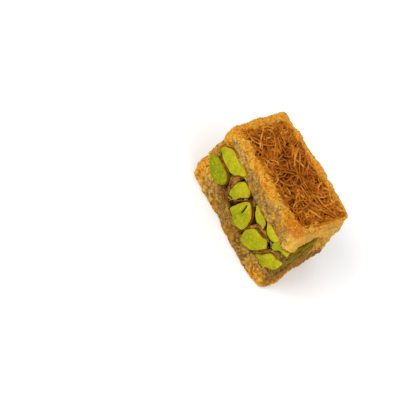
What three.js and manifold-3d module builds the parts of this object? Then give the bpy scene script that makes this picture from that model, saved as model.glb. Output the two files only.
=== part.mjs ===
// A pistachio ballorieh: a small block of pastry cut from a tray, in three layers. A crumb base carries a
// filling of packed pistachio kernels, and a crumb top is matted with fine browned pastry strands.
// Millimetres, +Z up. The block stands on its flat base, its length runs along X, and its front faces -Y.

import * as THREE from 'three';
import { mergeVertices } from 'three/addons/utils/BufferGeometryUtils.js';
import Module from 'manifold-3d';

const { clamp, degToRad, lerp, smoothstep } = THREE.MathUtils;

// Plan of the block before its edges are rounded: front left, front right, back right, back left
const BASE_PLAN = [[-26.8, -13.6], [25.6, -14.6], [19.9, 13.5], [-26.2, 14.2]];
const TOP_PLAN = [[-25.0, -11.1], [20.9, -12.4], [20.3, 12.6], [-26.1, 15.0]];
const HALF_LENGTH = 25;
const HALF_WIDTH = 13.5;
const RIM_HEIGHT = 29.1;

// Rounding of the upright corners and of the base and top edges
const CORNER_RADIUS = 2.2;
const BASE_EDGE_RADIUS = 1.9;
const TOP_EDGE_RADIUS = 1.1;

// How far the front swells at the base and the back at the top, where along the length, and over what share
// of the length
const FRONT_SWELL = { size: 1.9, middle: 0.42, spread: 0.45 };
const BACK_SWELL = { size: 1.3, middle: 0.2, spread: 0.6 };

// The back right corner swells halfway up, and there the crumb top runs further down the walls
const CORNER = { x: 21.2, y: 13.2, swell: 1.2, drop: 12.5, spread: 5.5 };

// Crags of the crumb: how far they stand out and how wide they are
const CRAG_DEPTH = 0.55;
const CRAG_SIZE = 2.4;
const RIM_CRAG = 0.35;

// Segments of a layer along its length, width and height, and how many of them each rounded corner takes
const CRUST_SEGMENTS = { length: 20, width: 12, height: 4, corner: 2 };
const CORE_SEGMENTS = { length: 16, width: 8, height: 1, corner: 2 };
const WALL_SEGMENTS = { length: 6, width: 4, height: 1, corner: 1 };

// Heights where each crumb layer meets the filling, as [x, z] along the front and along the back
const CRUST_TOP_FRONT = [[-25.8, 12.6], [-17.5, 7.8], [0.2, 5.3], [8.2, 4.9], [19.2, 6.6]];
const CRUST_TOP_BACK = [[-25.8, 7.2], [-14, 6], [-4, 7.4], [6, 6.2], [20.5, 7.2]];
const CRUMB_UNDER_FRONT = [[-24.3, 21.4], [-14.4, 24.2], [-3.3, 21.4], [14.7, 21.1], [22.2, 19.6]];
const CRUMB_UNDER_BACK = [[-25.8, 22.4], [-12, 21.6], [-2, 20.8], [8, 22.2], [20.5, 23.4]];

// Clearance between the filling and each crumb layer
const LAYER_GAP = 0.3;

// The filling's core lies back behind the walls, and back from the height that the kernels reach
const CORE_RECESS = 1.5;
const CORE_SINK = 0.35;

// The cut takes the kernels off this little behind the walls, and what trims their heights reaches past them
const KERNEL_RECESS = 0.1;
const TRIM_OVERREACH = 0.1;

// Kernels sit with their middles a little behind the wall and the cut takes off what stands past it. Their
// depth is a share of their width but never less than a few millimetres, and one end is slimmer
const KERNEL_SEAT = 1;
const KERNEL_DEPTH = 0.85;
const KERNEL_LEAST_DEPTH = 5;
const KERNEL_TAPER = 0.2;

// Kernels that show on each side: place along the side, height, length, width, and turn in degrees from level
const KERNELS = {
  front: [
    [-18.3, 11.8, 11.4, 6.8, -8], [-15.6, 20.4, 15.2, 6.6, 9], [-11.3, 14.0, 6.6, 3.0, -88],
    [-5.8, 15.8, 10.8, 6.8, 62], [0.6, 12.0, 11.8, 7.8, 83], [6.2, 18.2, 7.6, 3.0, -8],
    [10.8, 10.8, 11.8, 7.4, 38], [13.4, 19.4, 7.0, 3.2, -3], [19.8, 18.8, 8.0, 3.2, 22],
    [19.6, 11.8, 11.4, 5.6, 46],
  ],
  right: [
    [-7.3, 15.6, 8.6, 4.6, 15], [-4.3, 21.0, 5.2, 2.6, 5], [-3.0, 10.4, 9.5, 4.8, -10],
    [3.0, 16.8, 10.6, 6.0, 25], [6.8, 10.8, 8.8, 5.4, -30],
  ],
  back: [
    [-20.4, 13.6, 11.0, 6.2, 76], [-12.4, 17.7, 11.8, 6.0, 16], [-11.4, 10.4, 10.6, 5.8, -10],
    [-3.2, 14.4, 11.2, 6.4, 84], [4.4, 18.3, 10.6, 5.0, -12], [5.0, 11.0, 10.8, 6.0, 8],
    [12.8, 14.6, 11.4, 6.0, 60], [17.6, 11.6, 7.6, 4.4, -76],
  ],
  left: [
    [-6.8, 17.6, 8.6, 5.0, 26], [-1.6, 12.0, 9.8, 5.4, -18], [3.0, 18.4, 10.4, 5.4, 6],
    [7.8, 12.0, 8.6, 5.4, 66],
  ],
};

// Where the strand mat lies on the top
const MAT = { left: -22, right: 18.2, front: -8.4, back: 10.2, floor: 28.6 };

// The strands that stand out of the mat: how many, how thick and long, how finely made, how curled, how high
const STRAND_GRID = { columns: 9, rows: 4 };
const STRAND = {
  radius: 0.38, shortest: 8, longest: 18, steps: 5, sides: 4, bend: 0.16, lift: 0.1, rise: 0.6,
};
const SEED = 20;

const wasm = await Module();
wasm.setup();

// A repeatable run of random numbers from 0 to 1
function randomRun(seed) {
  let state = seed;
  return () => {
    state = (state + 0x6d2b79f5) | 0;
    let mixed = Math.imul(state ^ (state >>> 15), 1 | state);
    mixed = (mixed + Math.imul(mixed ^ (mixed >>> 7), 61 | mixed)) ^ mixed;
    return ((mixed ^ (mixed >>> 14)) >>> 0) / 4294967296;
  };
}

// A repeatable number from -1 to 1 for a point of a whole-number lattice
function latticeValue(i, j, k) {
  const seed = Math.imul(i, 374761393) ^ Math.imul(j, 668265263) ^ Math.imul(k, 1274126177);
  return randomRun(seed)() * 2 - 1;
}

// Smooth unevenness from -1 to 1 whose bumps are about as wide as size
function unevenness(x, y, z, size) {
  const [i, j, k] = [x, y, z].map((value) => Math.floor(value / size));
  const [a, b, c] = [x / size - i, y / size - j, z / size - k].map((value) => smoothstep(value, 0, 1));
  const row = (dj, dk) => lerp(latticeValue(i, j + dj, k + dk), latticeValue(i + 1, j + dj, k + dk), a);
  return lerp(lerp(row(0, 0), row(1, 0), b), lerp(row(0, 1), row(1, 1), b), c);
}

// Height at x of a line given by a few [x, z] points, eased from each to the next
function heightAlong(line, x) {
  const next = line.findIndex((point) => point[0] > x);
  if (next === 0) return line[0][1];
  if (next === -1) return line[line.length - 1][1];
  const [x0, z0] = line[next - 1];
  const [x1, z1] = line[next];
  return lerp(z0, z1, smoothstep(x, x0, x1));
}

// How near a point of the plan is to the swollen back right corner, from 0 to 1
const nearCorner = (x, y) => Math.exp(-((Math.hypot(x - CORNER.x, y - CORNER.y) / CORNER.spread) ** 2));

// Height of a layer's boundary at a point of the plan, between its front and back lines
function boundary(front, back, { x, y }) {
  return lerp(heightAlong(front, x), heightAlong(back, x), smoothstep(y, -HALF_WIDTH, HALF_WIDTH));
}

const crustTop = (point) => boundary(CRUST_TOP_FRONT, CRUST_TOP_BACK, point);

const crumbUnder = (point) =>
  boundary(CRUMB_UNDER_FRONT, CRUMB_UNDER_BACK, point) - CORNER.drop * nearCorner(point.x, point.y);

// A corner of the plan at height z
function cornerAt(index, z) {
  return [0, 1].map((axis) => lerp(BASE_PLAN[index][axis], TOP_PLAN[index][axis], z / RIM_HEIGHT));
}

// How far a swell pushes a side out at the share u of the length
function swell({ size, middle, spread }, u) {
  return size * Math.exp(-(((u - middle) / spread) ** 2));
}

// Draws the corners of the square of u and v in to quarter circles of the plan
function roundCorners(u, v) {
  const clearU = 1 - CORNER_RADIUS / HALF_LENGTH;
  const clearV = 1 - CORNER_RADIUS / HALF_WIDTH;
  const a = (Math.abs(u) - clearU) / (1 - clearU);
  const b = (Math.abs(v) - clearV) / (1 - clearV);
  if (a <= 0 || b <= 0) return [u, v];
  const draw = Math.max(a, b) / Math.hypot(a, b);
  const roundU = clearU + a * draw * (1 - clearU);
  const roundV = clearV + b * draw * (1 - clearV);
  return [Math.sign(u) * roundU, Math.sign(v) * roundV];
}

// The point of the block at u and v across the plan and height z, drawn in from the wall by inset
function blockPoint(u, v, z, inset) {
  const [roundU, roundV] = roundCorners(u, v);
  const a = (1 + roundU * (1 - inset / HALF_LENGTH)) / 2;
  const b = (1 + roundV * (1 - inset / HALF_WIDTH)) / 2;
  const corners = [0, 1, 2, 3].map((index) => cornerAt(index, z));
  const [x, y] = [0, 1].map((axis) =>
    lerp(lerp(corners[0][axis], corners[1][axis], a), lerp(corners[3][axis], corners[2][axis], a), b));
  const rise = z / RIM_HEIGHT;
  const push = swell(BACK_SWELL, u) * b * rise - swell(FRONT_SWELL, u) * (1 - b) * (1 - rise);
  const cornerPush = CORNER.swell * nearCorner(x, y) * Math.sin(Math.PI * clamp(rise, 0, 1));
  return new THREE.Vector3(x + cornerPush, y + push + cornerPush, z);
}

// How far a rounded edge draws the wall in at a distance from the edge's plane
function edgeInset(distance, radius) {
  const short = Math.max(radius - Math.max(distance, 0), 0);
  return radius - Math.sqrt(radius * radius - short * short);
}

// Moves evenly spaced grid lines so that a share of them, at both ends, fall in the rounded corners
function gatherInCorners(place, cornerShare, cornerWidth) {
  const distance = Math.abs(place);
  const clear = 1 - cornerShare;
  if (distance <= clear) return (place / clear) * (1 - cornerWidth);
  return Math.sign(place) * (1 - (cornerWidth * (1 - distance)) / cornerShare);
}

// A layer of the block between two heights over the plan; inset gives how far its wall is drawn in, and rows
// spreads its rows of points between floor and ceiling
function layer({ length, width, height, corner }, floor, ceiling, inset, rows = (share) => share) {
  const box = new THREE.BoxGeometry(2, 2, 2, length, width, height);
  box.deleteAttribute('normal');
  box.deleteAttribute('uv');
  const geometry = mergeVertices(box);
  const position = geometry.attributes.position;
  for (let i = 0; i < position.count; i++) {
    const u = gatherInCorners(position.getX(i), (2 * corner) / length, CORNER_RADIUS / HALF_LENGTH);
    const v = gatherInCorners(position.getY(i), (2 * corner) / width, CORNER_RADIUS / HALF_WIDTH);
    const share = rows((position.getZ(i) + 1) / 2);
    let point = blockPoint(u, v, RIM_HEIGHT / 2, 0);
    for (let pass = 0; pass < 2; pass++) {
      const z = lerp(floor(point), ceiling(point), share);
      point = blockPoint(u, v, z, inset(blockPoint(u, v, z, 0)));
    }
    position.setXYZ(i, point.x, point.y, point.z);
  }
  return geometry;
}

// A closed geometry as a solid that can be joined and cut
function solid(geometry) {
  const bare = geometry.clone();
  bare.deleteAttribute('normal');
  bare.deleteAttribute('uv');
  const merged = mergeVertices(bare);
  const vertProperties = new Float32Array(merged.attributes.position.array);
  const triVerts = new Uint32Array(merged.index.array);
  return new wasm.Manifold(new wasm.Mesh({ numProp: 3, vertProperties, triVerts }));
}

// All solids of a list joined in one
const joined = (solids) => solids.reduce((whole, piece) => whole.add(piece));

// The main body of a solid, without the loose scraps and sealed hollows that joining leaves
const larger = (best, body) => (body.volume() > best.volume() ? body : best);
const mainBody = (whole) => whole.decompose().reduce(larger);

// A crag of the crumb at a point: positive stands out
const crag = (point) => CRAG_DEPTH * unevenness(point.x, point.y, point.z, CRAG_SIZE);

// Crumb base: craggy walls, a rounded lower edge, and an underside cut flat at height 0
function bottomCrust() {
  const sunk = -0.4;
  const inset = (wall) => edgeInset(wall.z - sunk, BASE_EDGE_RADIUS) - crag(wall);
  const closeToBase = (share) => share ** 1.6;
  const crust = solid(layer(CRUST_SEGMENTS, () => sunk, crustTop, inset, closeToBase));
  const table = new THREE.BoxGeometry(80, 60, 10).translate(0, 0, -5);
  return crust.subtract(solid(table));
}

// One kernel: a long rounded seed, its long axis along Y, slimmer towards +Y
function kernelGeometry(length, width) {
  const seed = new THREE.SphereGeometry(1, 8, 5);
  const depth = Math.max(width * KERNEL_DEPTH, KERNEL_LEAST_DEPTH);
  const position = seed.attributes.position;
  for (let i = 0; i < position.count; i++) {
    const slim = 1 - KERNEL_TAPER * position.getY(i);
    const across = (position.getX(i) * slim * width) / 2;
    const inward = (position.getZ(i) * slim * depth) / 2;
    position.setXYZ(i, across, (position.getY(i) * length) / 2, inward);
  }
  return seed;
}

// The walls: the corners that each runs between, the axis it runs along, and the side of it that faces out
const WALLS = {
  front: { ends: [0, 1], axis: 0, out: 1 },
  right: { ends: [1, 2], axis: 1, out: 1 },
  back: { ends: [3, 2], axis: 0, out: -1 },
  left: { ends: [0, 3], axis: 1, out: -1 },
};

// Where a kernel lies: its middle at a place along the wall and a height, its long axis turned in the wall
function kernelPlace(wall, along, height, turn) {
  const { ends, axis, out } = WALLS[wall];
  const [from, to] = ends.map((index) => new THREE.Vector2(...cornerAt(index, height)));
  const share = (along - from.getComponent(axis)) / (to.getComponent(axis) - from.getComponent(axis));
  const middle = from.clone().lerp(to, share);
  const run = to.clone().sub(from).normalize();
  const level = new THREE.Vector3(run.x, run.y, 0);
  const outward = new THREE.Vector3(run.y * out, -run.x * out, 0);
  const long = level.applyAxisAngle(outward, degToRad(turn) * out);
  const across = long.clone().cross(outward);
  const seat = new THREE.Vector3(middle.x, middle.y, height).addScaledVector(outward, -KERNEL_SEAT);
  return new THREE.Matrix4().makeBasis(across, long, outward).setPosition(seat);
}

// All the kernels of the four sides, whole and in their places
function placedKernels() {
  return Object.entries(KERNELS).flatMap(([wall, list]) =>
    list.map(([along, height, length, width, turn]) =>
      solid(kernelGeometry(length, width).applyMatrix4(kernelPlace(wall, along, height, turn)))));
}

// Filling: a core behind the walls, fused with the kernels that show at the sides and are cut at the walls
function pistachioFilling() {
  const core = solid(layer(CORE_SEGMENTS,
    (point) => crustTop(point) + LAYER_GAP + CORE_SINK,
    (point) => crumbUnder(point) - LAYER_GAP - CORE_SINK,
    () => CORE_RECESS));
  const between = solid(layer({ ...CRUST_SEGMENTS, height: 1 },
    (point) => crustTop(point) + LAYER_GAP,
    (point) => crumbUnder(point) - LAYER_GAP,
    () => -TRIM_OVERREACH));
  const walls = solid(layer(WALL_SEGMENTS, () => 0, () => RIM_HEIGHT, () => KERNEL_RECESS));
  return mainBody(core.add(joined(placedKernels()).intersect(walls).intersect(between)));
}

const isOnMat = ({ x, y }) => x > MAT.left && x < MAT.right && y > MAT.front && y < MAT.back;

// A curved line for one strand through a place on the mat: an arc that rises and dips and ends inside the mat
function strandPath(place, random) {
  const length = lerp(STRAND.shortest, STRAND.longest, random());
  const heading = random() * Math.PI * 2;
  const bend = lerp(0.2, 1, random()) * STRAND.bend * (random() < 0.5 ? -1 : 1);
  const points = [];
  for (const share of [-0.5, -0.25, 0, 0.25, 0.5]) {
    const turned = bend * length * share;
    const arc = new THREE.Vector2(Math.sin(turned), 1 - Math.cos(turned)).divideScalar(bend);
    arc.rotateAround(new THREE.Vector2(), heading);
    const height = MAT.floor + STRAND.lift + STRAND.rise * random();
    points.push(new THREE.Vector3(place.x + arc.x, place.y + arc.y, height));
  }
  return new THREE.CatmullRomCurve3(points.filter(isOnMat));
}

// A strand: a thin tube with a few flat sides along its path
function strand(place, random) {
  const { radius, steps, sides } = STRAND;
  const section = new THREE.Shape();
  for (let i = 0; i < sides; i++) {
    const angle = (i / sides) * Math.PI * 2;
    const corner = [radius * Math.cos(angle), radius * Math.sin(angle)];
    if (i === 0) section.moveTo(...corner);
    else section.lineTo(...corner);
  }
  const extrudePath = strandPath(place, random);
  return solid(new THREE.ExtrudeGeometry(section, { steps, extrudePath, bevelEnabled: false }));
}

// The strands, one through each cell of a grid over the mat
function strands() {
  const { columns, rows } = STRAND_GRID;
  const random = randomRun(SEED);
  const list = [];
  for (let column = 0; column < columns; column++) {
    for (let row = 0; row < rows; row++) {
      const x = lerp(MAT.left, MAT.right, (column + lerp(0.2, 0.8, random())) / columns);
      const y = lerp(MAT.front, MAT.back, (row + lerp(0.2, 0.8, random())) / rows);
      list.push(strand({ x, y }, random));
    }
  }
  return list;
}

// Crumb top: craggy walls, a rounded upper edge, a craggy rim round the mat, and the strands that stand out
function topCrust() {
  const rim = (point) =>
    isOnMat(point) ? MAT.floor : RIM_HEIGHT + RIM_CRAG * unevenness(point.x, point.y, 0, CRAG_SIZE);
  const inset = (wall) => edgeInset(RIM_HEIGHT - wall.z, TOP_EDGE_RADIUS) - crag(wall);
  const closeToTop = (share) => 1 - (1 - share) ** 1.6;
  const crumb = solid(layer(CRUST_SEGMENTS, crumbUnder, rim, inset, closeToTop));
  return mainBody(crumb.add(joined(strands())));
}

// A named mesh from a solid, with its own material
function mesh(name, body, color, roughness) {
  const { vertProperties, triVerts } = body.getMesh();
  const geometry = new THREE.BufferGeometry();
  geometry.setAttribute('position', new THREE.BufferAttribute(vertProperties, 3));
  geometry.setIndex(new THREE.BufferAttribute(triVerts, 1));
  geometry.computeVertexNormals();
  const piece = new THREE.Mesh(geometry, new THREE.MeshStandardMaterial({ color, roughness, metalness: 0 }));
  piece.name = name;
  return piece;
}

const ballorieh = new THREE.Group();
ballorieh.add(mesh('bottom_crust', bottomCrust(), 0xbf8632, 0.9));
ballorieh.add(mesh('pistachio_filling', pistachioFilling(), 0xaeab26, 0.6));
ballorieh.add(mesh('top_crust', topCrust(), 0xb87428, 0.85));

// The origin is the middle of the base
const box = new THREE.Box3().setFromObject(ballorieh);
const middle = box.getCenter(new THREE.Vector3());
ballorieh.position.set(-middle.x, -middle.y, -box.min.z);

export default ballorieh;
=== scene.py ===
"""A pistachio ballorieh piece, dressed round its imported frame.

The crumb, the strand mat, the kernels and their skins are modelled in millimetres on the same plan as the
part's source, and finish_piece puts their points in metres where the frame has the part.
"""

import math
import bmesh
import bpy
import numpy as np
from bpy.props import FloatProperty, FloatVectorProperty, IntProperty, PointerProperty
from mathutils import Color, Matrix, Vector, noise


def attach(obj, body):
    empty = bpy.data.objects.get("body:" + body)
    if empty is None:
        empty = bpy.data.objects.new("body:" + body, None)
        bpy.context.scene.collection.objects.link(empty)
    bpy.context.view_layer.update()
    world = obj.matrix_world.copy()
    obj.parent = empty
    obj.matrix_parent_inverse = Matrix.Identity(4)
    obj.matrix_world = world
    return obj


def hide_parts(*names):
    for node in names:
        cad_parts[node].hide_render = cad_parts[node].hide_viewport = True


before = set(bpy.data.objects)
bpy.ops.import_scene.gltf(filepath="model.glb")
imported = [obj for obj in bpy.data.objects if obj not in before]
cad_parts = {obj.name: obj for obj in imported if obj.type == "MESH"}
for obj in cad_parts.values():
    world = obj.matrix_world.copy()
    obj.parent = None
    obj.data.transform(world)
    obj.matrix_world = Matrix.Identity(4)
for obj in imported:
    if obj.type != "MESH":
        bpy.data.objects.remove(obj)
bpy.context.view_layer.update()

bl_info = {
    "name": "Pistachio ballorieh piece",
    "version": (1, 0, 0),
    "blender": (4, 5, 0),
    "location": "View3D > Sidebar > Ballorieh",
    "description": "Dresses the frame of one cut piece of pistachio ballorieh",
    "category": "Object",
}

MILLIMETRE = 0.001
BODY = "root"
SEED = 7

# Where the middle of the plan lies in the frame, in millimetres
PLAN_SHIFT = np.array([0.863, 0.388, 0.0])

# Plan of the block before its edges are rounded: front left, front right, back right, back left
BASE_PLAN = np.array([[-26.8, -13.6], [25.6, -14.6], [19.9, 13.5], [-26.2, 14.2]])
TOP_PLAN = np.array([[-25.0, -11.1], [20.9, -12.4], [20.3, 12.6], [-26.1, 15.0]])
HALF_LENGTH = 25
HALF_WIDTH = 13.5
RIM_HEIGHT = 29.1
BASE_CORNER_RADIUS = 3.6
TOP_CORNER_RADIUS = 1.9
CUT_CORNER_RADIUS = 1.2
BED_CORNER_RADIUS = 1.8
BASE_EDGE_RADIUS = 1.6
TOP_EDGE_RADIUS = 1.1
BASE_SUNK = 0.4

# How far the front swells at the base and the back at the top, where along the length and over what share
# of it
FRONT_SWELL = {"size": 1.9, "middle": 0.42, "spread": 0.45}
BACK_SWELL = {"size": 1.3, "middle": 0.2, "spread": 0.6}

# The back right corner swells halfway up, and there the crumb top runs further down the walls. A spot is a
# place and how far it reaches along each axis
CORNER_SPOT = (21.2, 13.2, 5.5, 5.5)
CORNER_SWELL = 1.2
CORNER_DROP = 12.5

# The front right corner stands almost upright from the first height to the last. Its lower edge is rounder
UPRIGHT_SPOT = (22.4, -13, 5.0, 5.0)
UPRIGHT_SWELL = 1.1
UPRIGHT_FROM = (9, 19)
UPRIGHT_TO = (22, 28.5)
UPRIGHT_EDGE = 0.9

# Crags and broad steps of the crumb: how far they stand out and how wide they are
CRAG_DEPTH = 0.55
CRAG_SIZE = 2.4
STEP_DEPTH = 0.35
STEP_SIZE = 6.5
RIM_CRAG = 0.35

# Heights where each crumb layer meets the filling, as [x, z] along the front and along the back
CRUST_TOP_FRONT = [[-25.8, 12.6], [-17.5, 7.8], [0.2, 5.3], [8.2, 4.9], [19.2, 6.6]]
CRUST_TOP_BACK = [[-25.8, 7.2], [-14, 6], [-4, 7.4], [6, 6.2], [20.5, 8.2]]
CRUMB_UNDER_FRONT = [
    [-24.6, 22.4], [-19.5, 24.0], [-12, 24.2], [-8.4, 23.2], [-3.3, 21.6], [14.7, 21.8], [19, 20.8],
    [23, 22.2],
]
CRUMB_UNDER_BACK = [[-25.8, 22.4], [-12, 21.6], [-2, 20.8], [8, 22.2], [20.5, 23.4]]
BOUNDARY_WANDER = 1.1
BOUNDARY_SIZE = 5.2

# Over this band of y, from the front wall inwards, the front's traced shapes give way to those of the rest
FRONT_BAND = (-10.5, -7)

# Fades: a weight, and the bands that it grows over. A band is an axis, with - where it runs backwards, and
# its two ends. The crumb is browned towards its outer edges, and pale or brown in places. On the base's
# right end and in a hollow of its front it is painted darker, as painted shade
BASE_TOAST = {
    "edge": [(0.6, {"-z": (-3.6, 0.4)})],
    "wander": (-1.2, 5),
    "sides": [(1, {"-x": (17.5, 23.5)}), (0.75, {"x": (12, 21), "-z": (-7.5, -2)})],
}
TOP_TOAST = {
    "edge": [(1, {"z": (26.5, 29.4)})],
    "wander": (1.5, 4.6),
    "sides": [(1, {"-x": (18.5, 22.5)}), (0.45, {"x": (17.5, 21)})],
}
TOAST_PATCHES = 0.25
TOAST_PATCH_SIZE = 3.1
BASE_PALE = [(0.05, {"-x": (14, 24)}), (0.6, {"x": (12, 19)})]
BASE_BROWN = [(0.6, {"x": (-16, -4)})]
# Painted shade on the wall of the base's right end
RIGHT_WALL_SHADE = [(0.9, {"x": (-3, -1.6), "z": (0.5, 3)})]
RIGHT_WALL_LEAN = 0.2
# Painted shade in a hollow of the base's front: a spot (x, z and their reaches) and the band of the front
# wall
HOLLOW_SPOT = (-10.0, 8.2, 3.4, 2.2)
HOLLOW_SHADE = [(0.9, {"-y": (9, 12)})]
TOP_PALE = [
    (0.9, {"x": (15, 21), "-y": (5, 10)}), (0.4, {"y": (11.5, 13.5), "z": (22, 27)}),
    (0.35, {"-x": (21, 24)}), (0.4, {"x": (18.5, 20)}),
]
TOP_BROWN = [(0.3, {"-z": (-25.8, -22.8), "-y": (5, 9)})]

# The left corners and the back of the right end, where the filling's bed comes out to the walls, and the
# front right corner, which no gap may cut through
BED_ENDS = [
    (1, {"-x": (20.5, 24), "-y": (8.5, 12)}), (1, {"-x": (20.5, 24), "y": (8.5, 12)}),
    (1, {"x": (15.5, 18.5), "y": (1, 7)}),
]
FRONT_RIGHT_EDGE = [(1, {"x": (16.5, 20.5), "-y": (7.5, 11)})]

# Clusters of pale crumbs on the top: place (x, y), spread and how many
TOP_CLUSTERS = [
    (-22.8, -2.4, 0.35, 14), (-14.5, -8.6, 0.4, 10), (-18.0, -10.2, 0.8, 16), (17.4, -11.4, 0.4, 8),
    (8.6, -11.6, 0.9, 8),
]

# The strand mat: the sides of its sunken bed, the bed's depth, how its border slopes, and the waves of the
# border: how deep, the layer of unevenness that they follow, and how wide
MAT = {
    "left": -22.4, "right": 19.6, "front": -9.4, "back": 11.9, "round": 2.4, "depth": 1.7, "border": 3.2,
    "waves": [(1.19, 50, 4.2), (0.85, 60, 1.7)],
}

# Lumps of glazed crumb that stand up among the strands, most where the mat's border is this near
LUMPS = {"layer": 45, "size": 3.0, "from": -0.3, "to": 0.4, "near": (2, 8), "rise": 0.7}

# The deep orange glaze: how far past the mat's border it reaches, how uneven it is and how strong on the
# border, on the far rims and in the front right corner
GLAZE = {"wider": 0.6, "layer": 40, "size": 2.2, "border": 0.42, "far": 0.14, "corner": 0.75, "most": 0.5}
GLAZE_FRONT = (-8.5, -3)
GLAZE_FAR = [(1, {"y": (9, 11.5)}), (1, {"-x": (20.5, 23)}), (1, {"x": (16, 18.5), "y": (-12, -9)})]
GLAZE_SPOT = (18.4, -10.8, 3.8, 3.0)

# The heights over which the bed's painted shade and the glaze come in
BED_FROM = (26, 27)
GLAZE_FROM = (25.6, 28)

# Cuts of a crumb layer and of the filling's bed along its length, width and height
CRUMB_CUTS = (200, 112, 30)
BED_CUTS = (150, 84, 34)

# How the rows of a crumb layer crowd towards its outer edge, and how wide its finest relief is beside the
# grains
ROW_CROWDING = 1.4
FINE_GRAIN = 1.3

# The crumb hugs the kernels this far past its boundaries, unevenly. The bed lies back behind the walls,
# more in its gaps and pits
BASE_HUG = 1.0
TOP_HUG = 0.7
HUG_SIZE = 1.6
BED_RECESS = 0.9
BED_CRAG = 0.25
GAP_DEPTH = 1.6
GAP_SIZE = 3.4
PIT_DEPTH = 3.4
BED_LUMP = 1.3
BED_GRAIN = 0.6
BED_ROUGH = 0.9

# Loose crumbs: the smallest radius and how much the largest have more, on the base and the top. Radii of
# the filling's crumbs and of the pale ones, and the shares of their radii that they are sunk by
BASE_GRAINS = (0.1, 0.26)
TOP_GRAINS = (0.1, 0.3)
FILLING_GRAINS = (0.12, 0.42)
PALE_TOP_GRAIN = 0.28
PALE_FRONT_GRAIN = 0.24
GRAINS_SUNK = 0.45
FILLING_GRAINS_SUNK = 0.2
LOWEST_GRAIN = 0.02
GRAIN_RELIEF = (0.2, 1)

# The walls: the corners of the plan that each runs between, and the axis that it runs along
WALLS = {"front": (0, 1, 0), "right": (1, 2, 1), "back": (3, 2, 0), "left": (0, 3, 1)}

# Outlines of the kernels cut on the front, as points (x, z), each with its greenness and how deep it sits
FRONT_KERNELS = [
    {"tone": 0.30, "sunk": 0.0, "outline": [
        (-22.8, 19.9), (-20.4, 22.6), (-17.6, 23.8), (-13.6, 23.4), (-9.4, 24.0), (-8.1, 22.4), (-10.2, 20),
        (-12.8, 17.0), (-17, 16.7), (-20.4, 17.4), (-22.2, 18.6)]},
    {"tone": 0.95, "sunk": 0.1, "outline": [
        (-24, 13.5), (-22.4, 15.0), (-18.4, 15.1), (-14.8, 14.2), (-12.8, 11.3), (-14.5, 8.6), (-16.5, 7.9),
        (-19, 8.6), (-22.5, 11.2)]},
    {"tone": 0.45, "sunk": 0.1, "outline": [
        (-5, 21), (-2.5, 20.2), (-2.1, 18), (-4.5, 14.5), (-5.6, 11.6), (-7, 11.3), (-8.2, 10.6),
        (-9.3, 12.5), (-9.2, 16.5), (-7.5, 20.2)]},
    {"tone": 0.50, "sunk": 0.0, "slit": [(-0.2, 16.0), (0.3, 12.2)], "outline": [
        (0.2, 17.9), (3.5, 16), (5, 13), (4.8, 8.3), (2, 6.8), (-0.5, 6.1), (-2.5, 7.5), (-4.6, 8.1),
        (-3.5, 12), (-1.7, 16.4)]},
    {"tone": 0.45, "sunk": 0.2, "outline": [
        (2.5, 20.3), (5, 20.5), (9, 19.8), (9.9, 18.2), (7.8, 16.8), (5.5, 16.7), (3.2, 18.8)]},
    {"tone": 0.55, "sunk": 0.0, "outline": [
        (6.1, 10.4), (7.3, 12.9), (9, 14.4), (12.2, 14.9), (13.4, 15.7), (14.2, 15.7), (15.8, 14.2),
        (15.6, 12.8),
        (14.2, 10.3), (12.6, 8.1), (10.8, 6.8), (8.6, 6.0), (6.8, 6.1), (6.1, 7.8)]},
    {"tone": 0.25, "sunk": 0.1, "outline": [
        (9.7, 20.8), (13, 21.3), (16.7, 20.8), (16.2, 18.6), (14, 17.8), (11.8, 18.4)]},
    {"tone": 0.60, "sunk": 0.2, "outline": [
        (16.3, 18.4), (16.8, 20.1), (18.4, 20.3), (20.6, 20.2), (22.4, 21.2), (23.3, 21.6), (23.2, 20.4),
        (22.2, 19.5), (19.2, 18.4), (18.6, 17.2), (17.8, 15.9), (16.7, 16.2)]},
    {"tone": 0.50, "sunk": 0.2, "outline": [
        (15.0, 7.4), (16.4, 9.4), (17.3, 11.4), (18.2, 13.8), (19.8, 15.1), (21.4, 15.8), (23.1, 16.5),
        (23.6, 15), (23.3, 11.8), (21.6, 9.6), (20.5, 8.2), (20.0, 7.2), (18.9, 7.6),
        (18.2, 6.7), (17.2, 7.6)]},
]

# A kernel that is still in its tan skin, deeper in the filling
SKINNED_KERNELS = [
    {"tone": 0.5, "sunk": 0.9, "outline": [
        (-13.3, 16.3), (-10.5, 18.9), (-9.5, 17), (-9.6, 12), (-10.4, 9.8), (-11.4, 11.4), (-12.4, 14)]},
]

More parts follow.
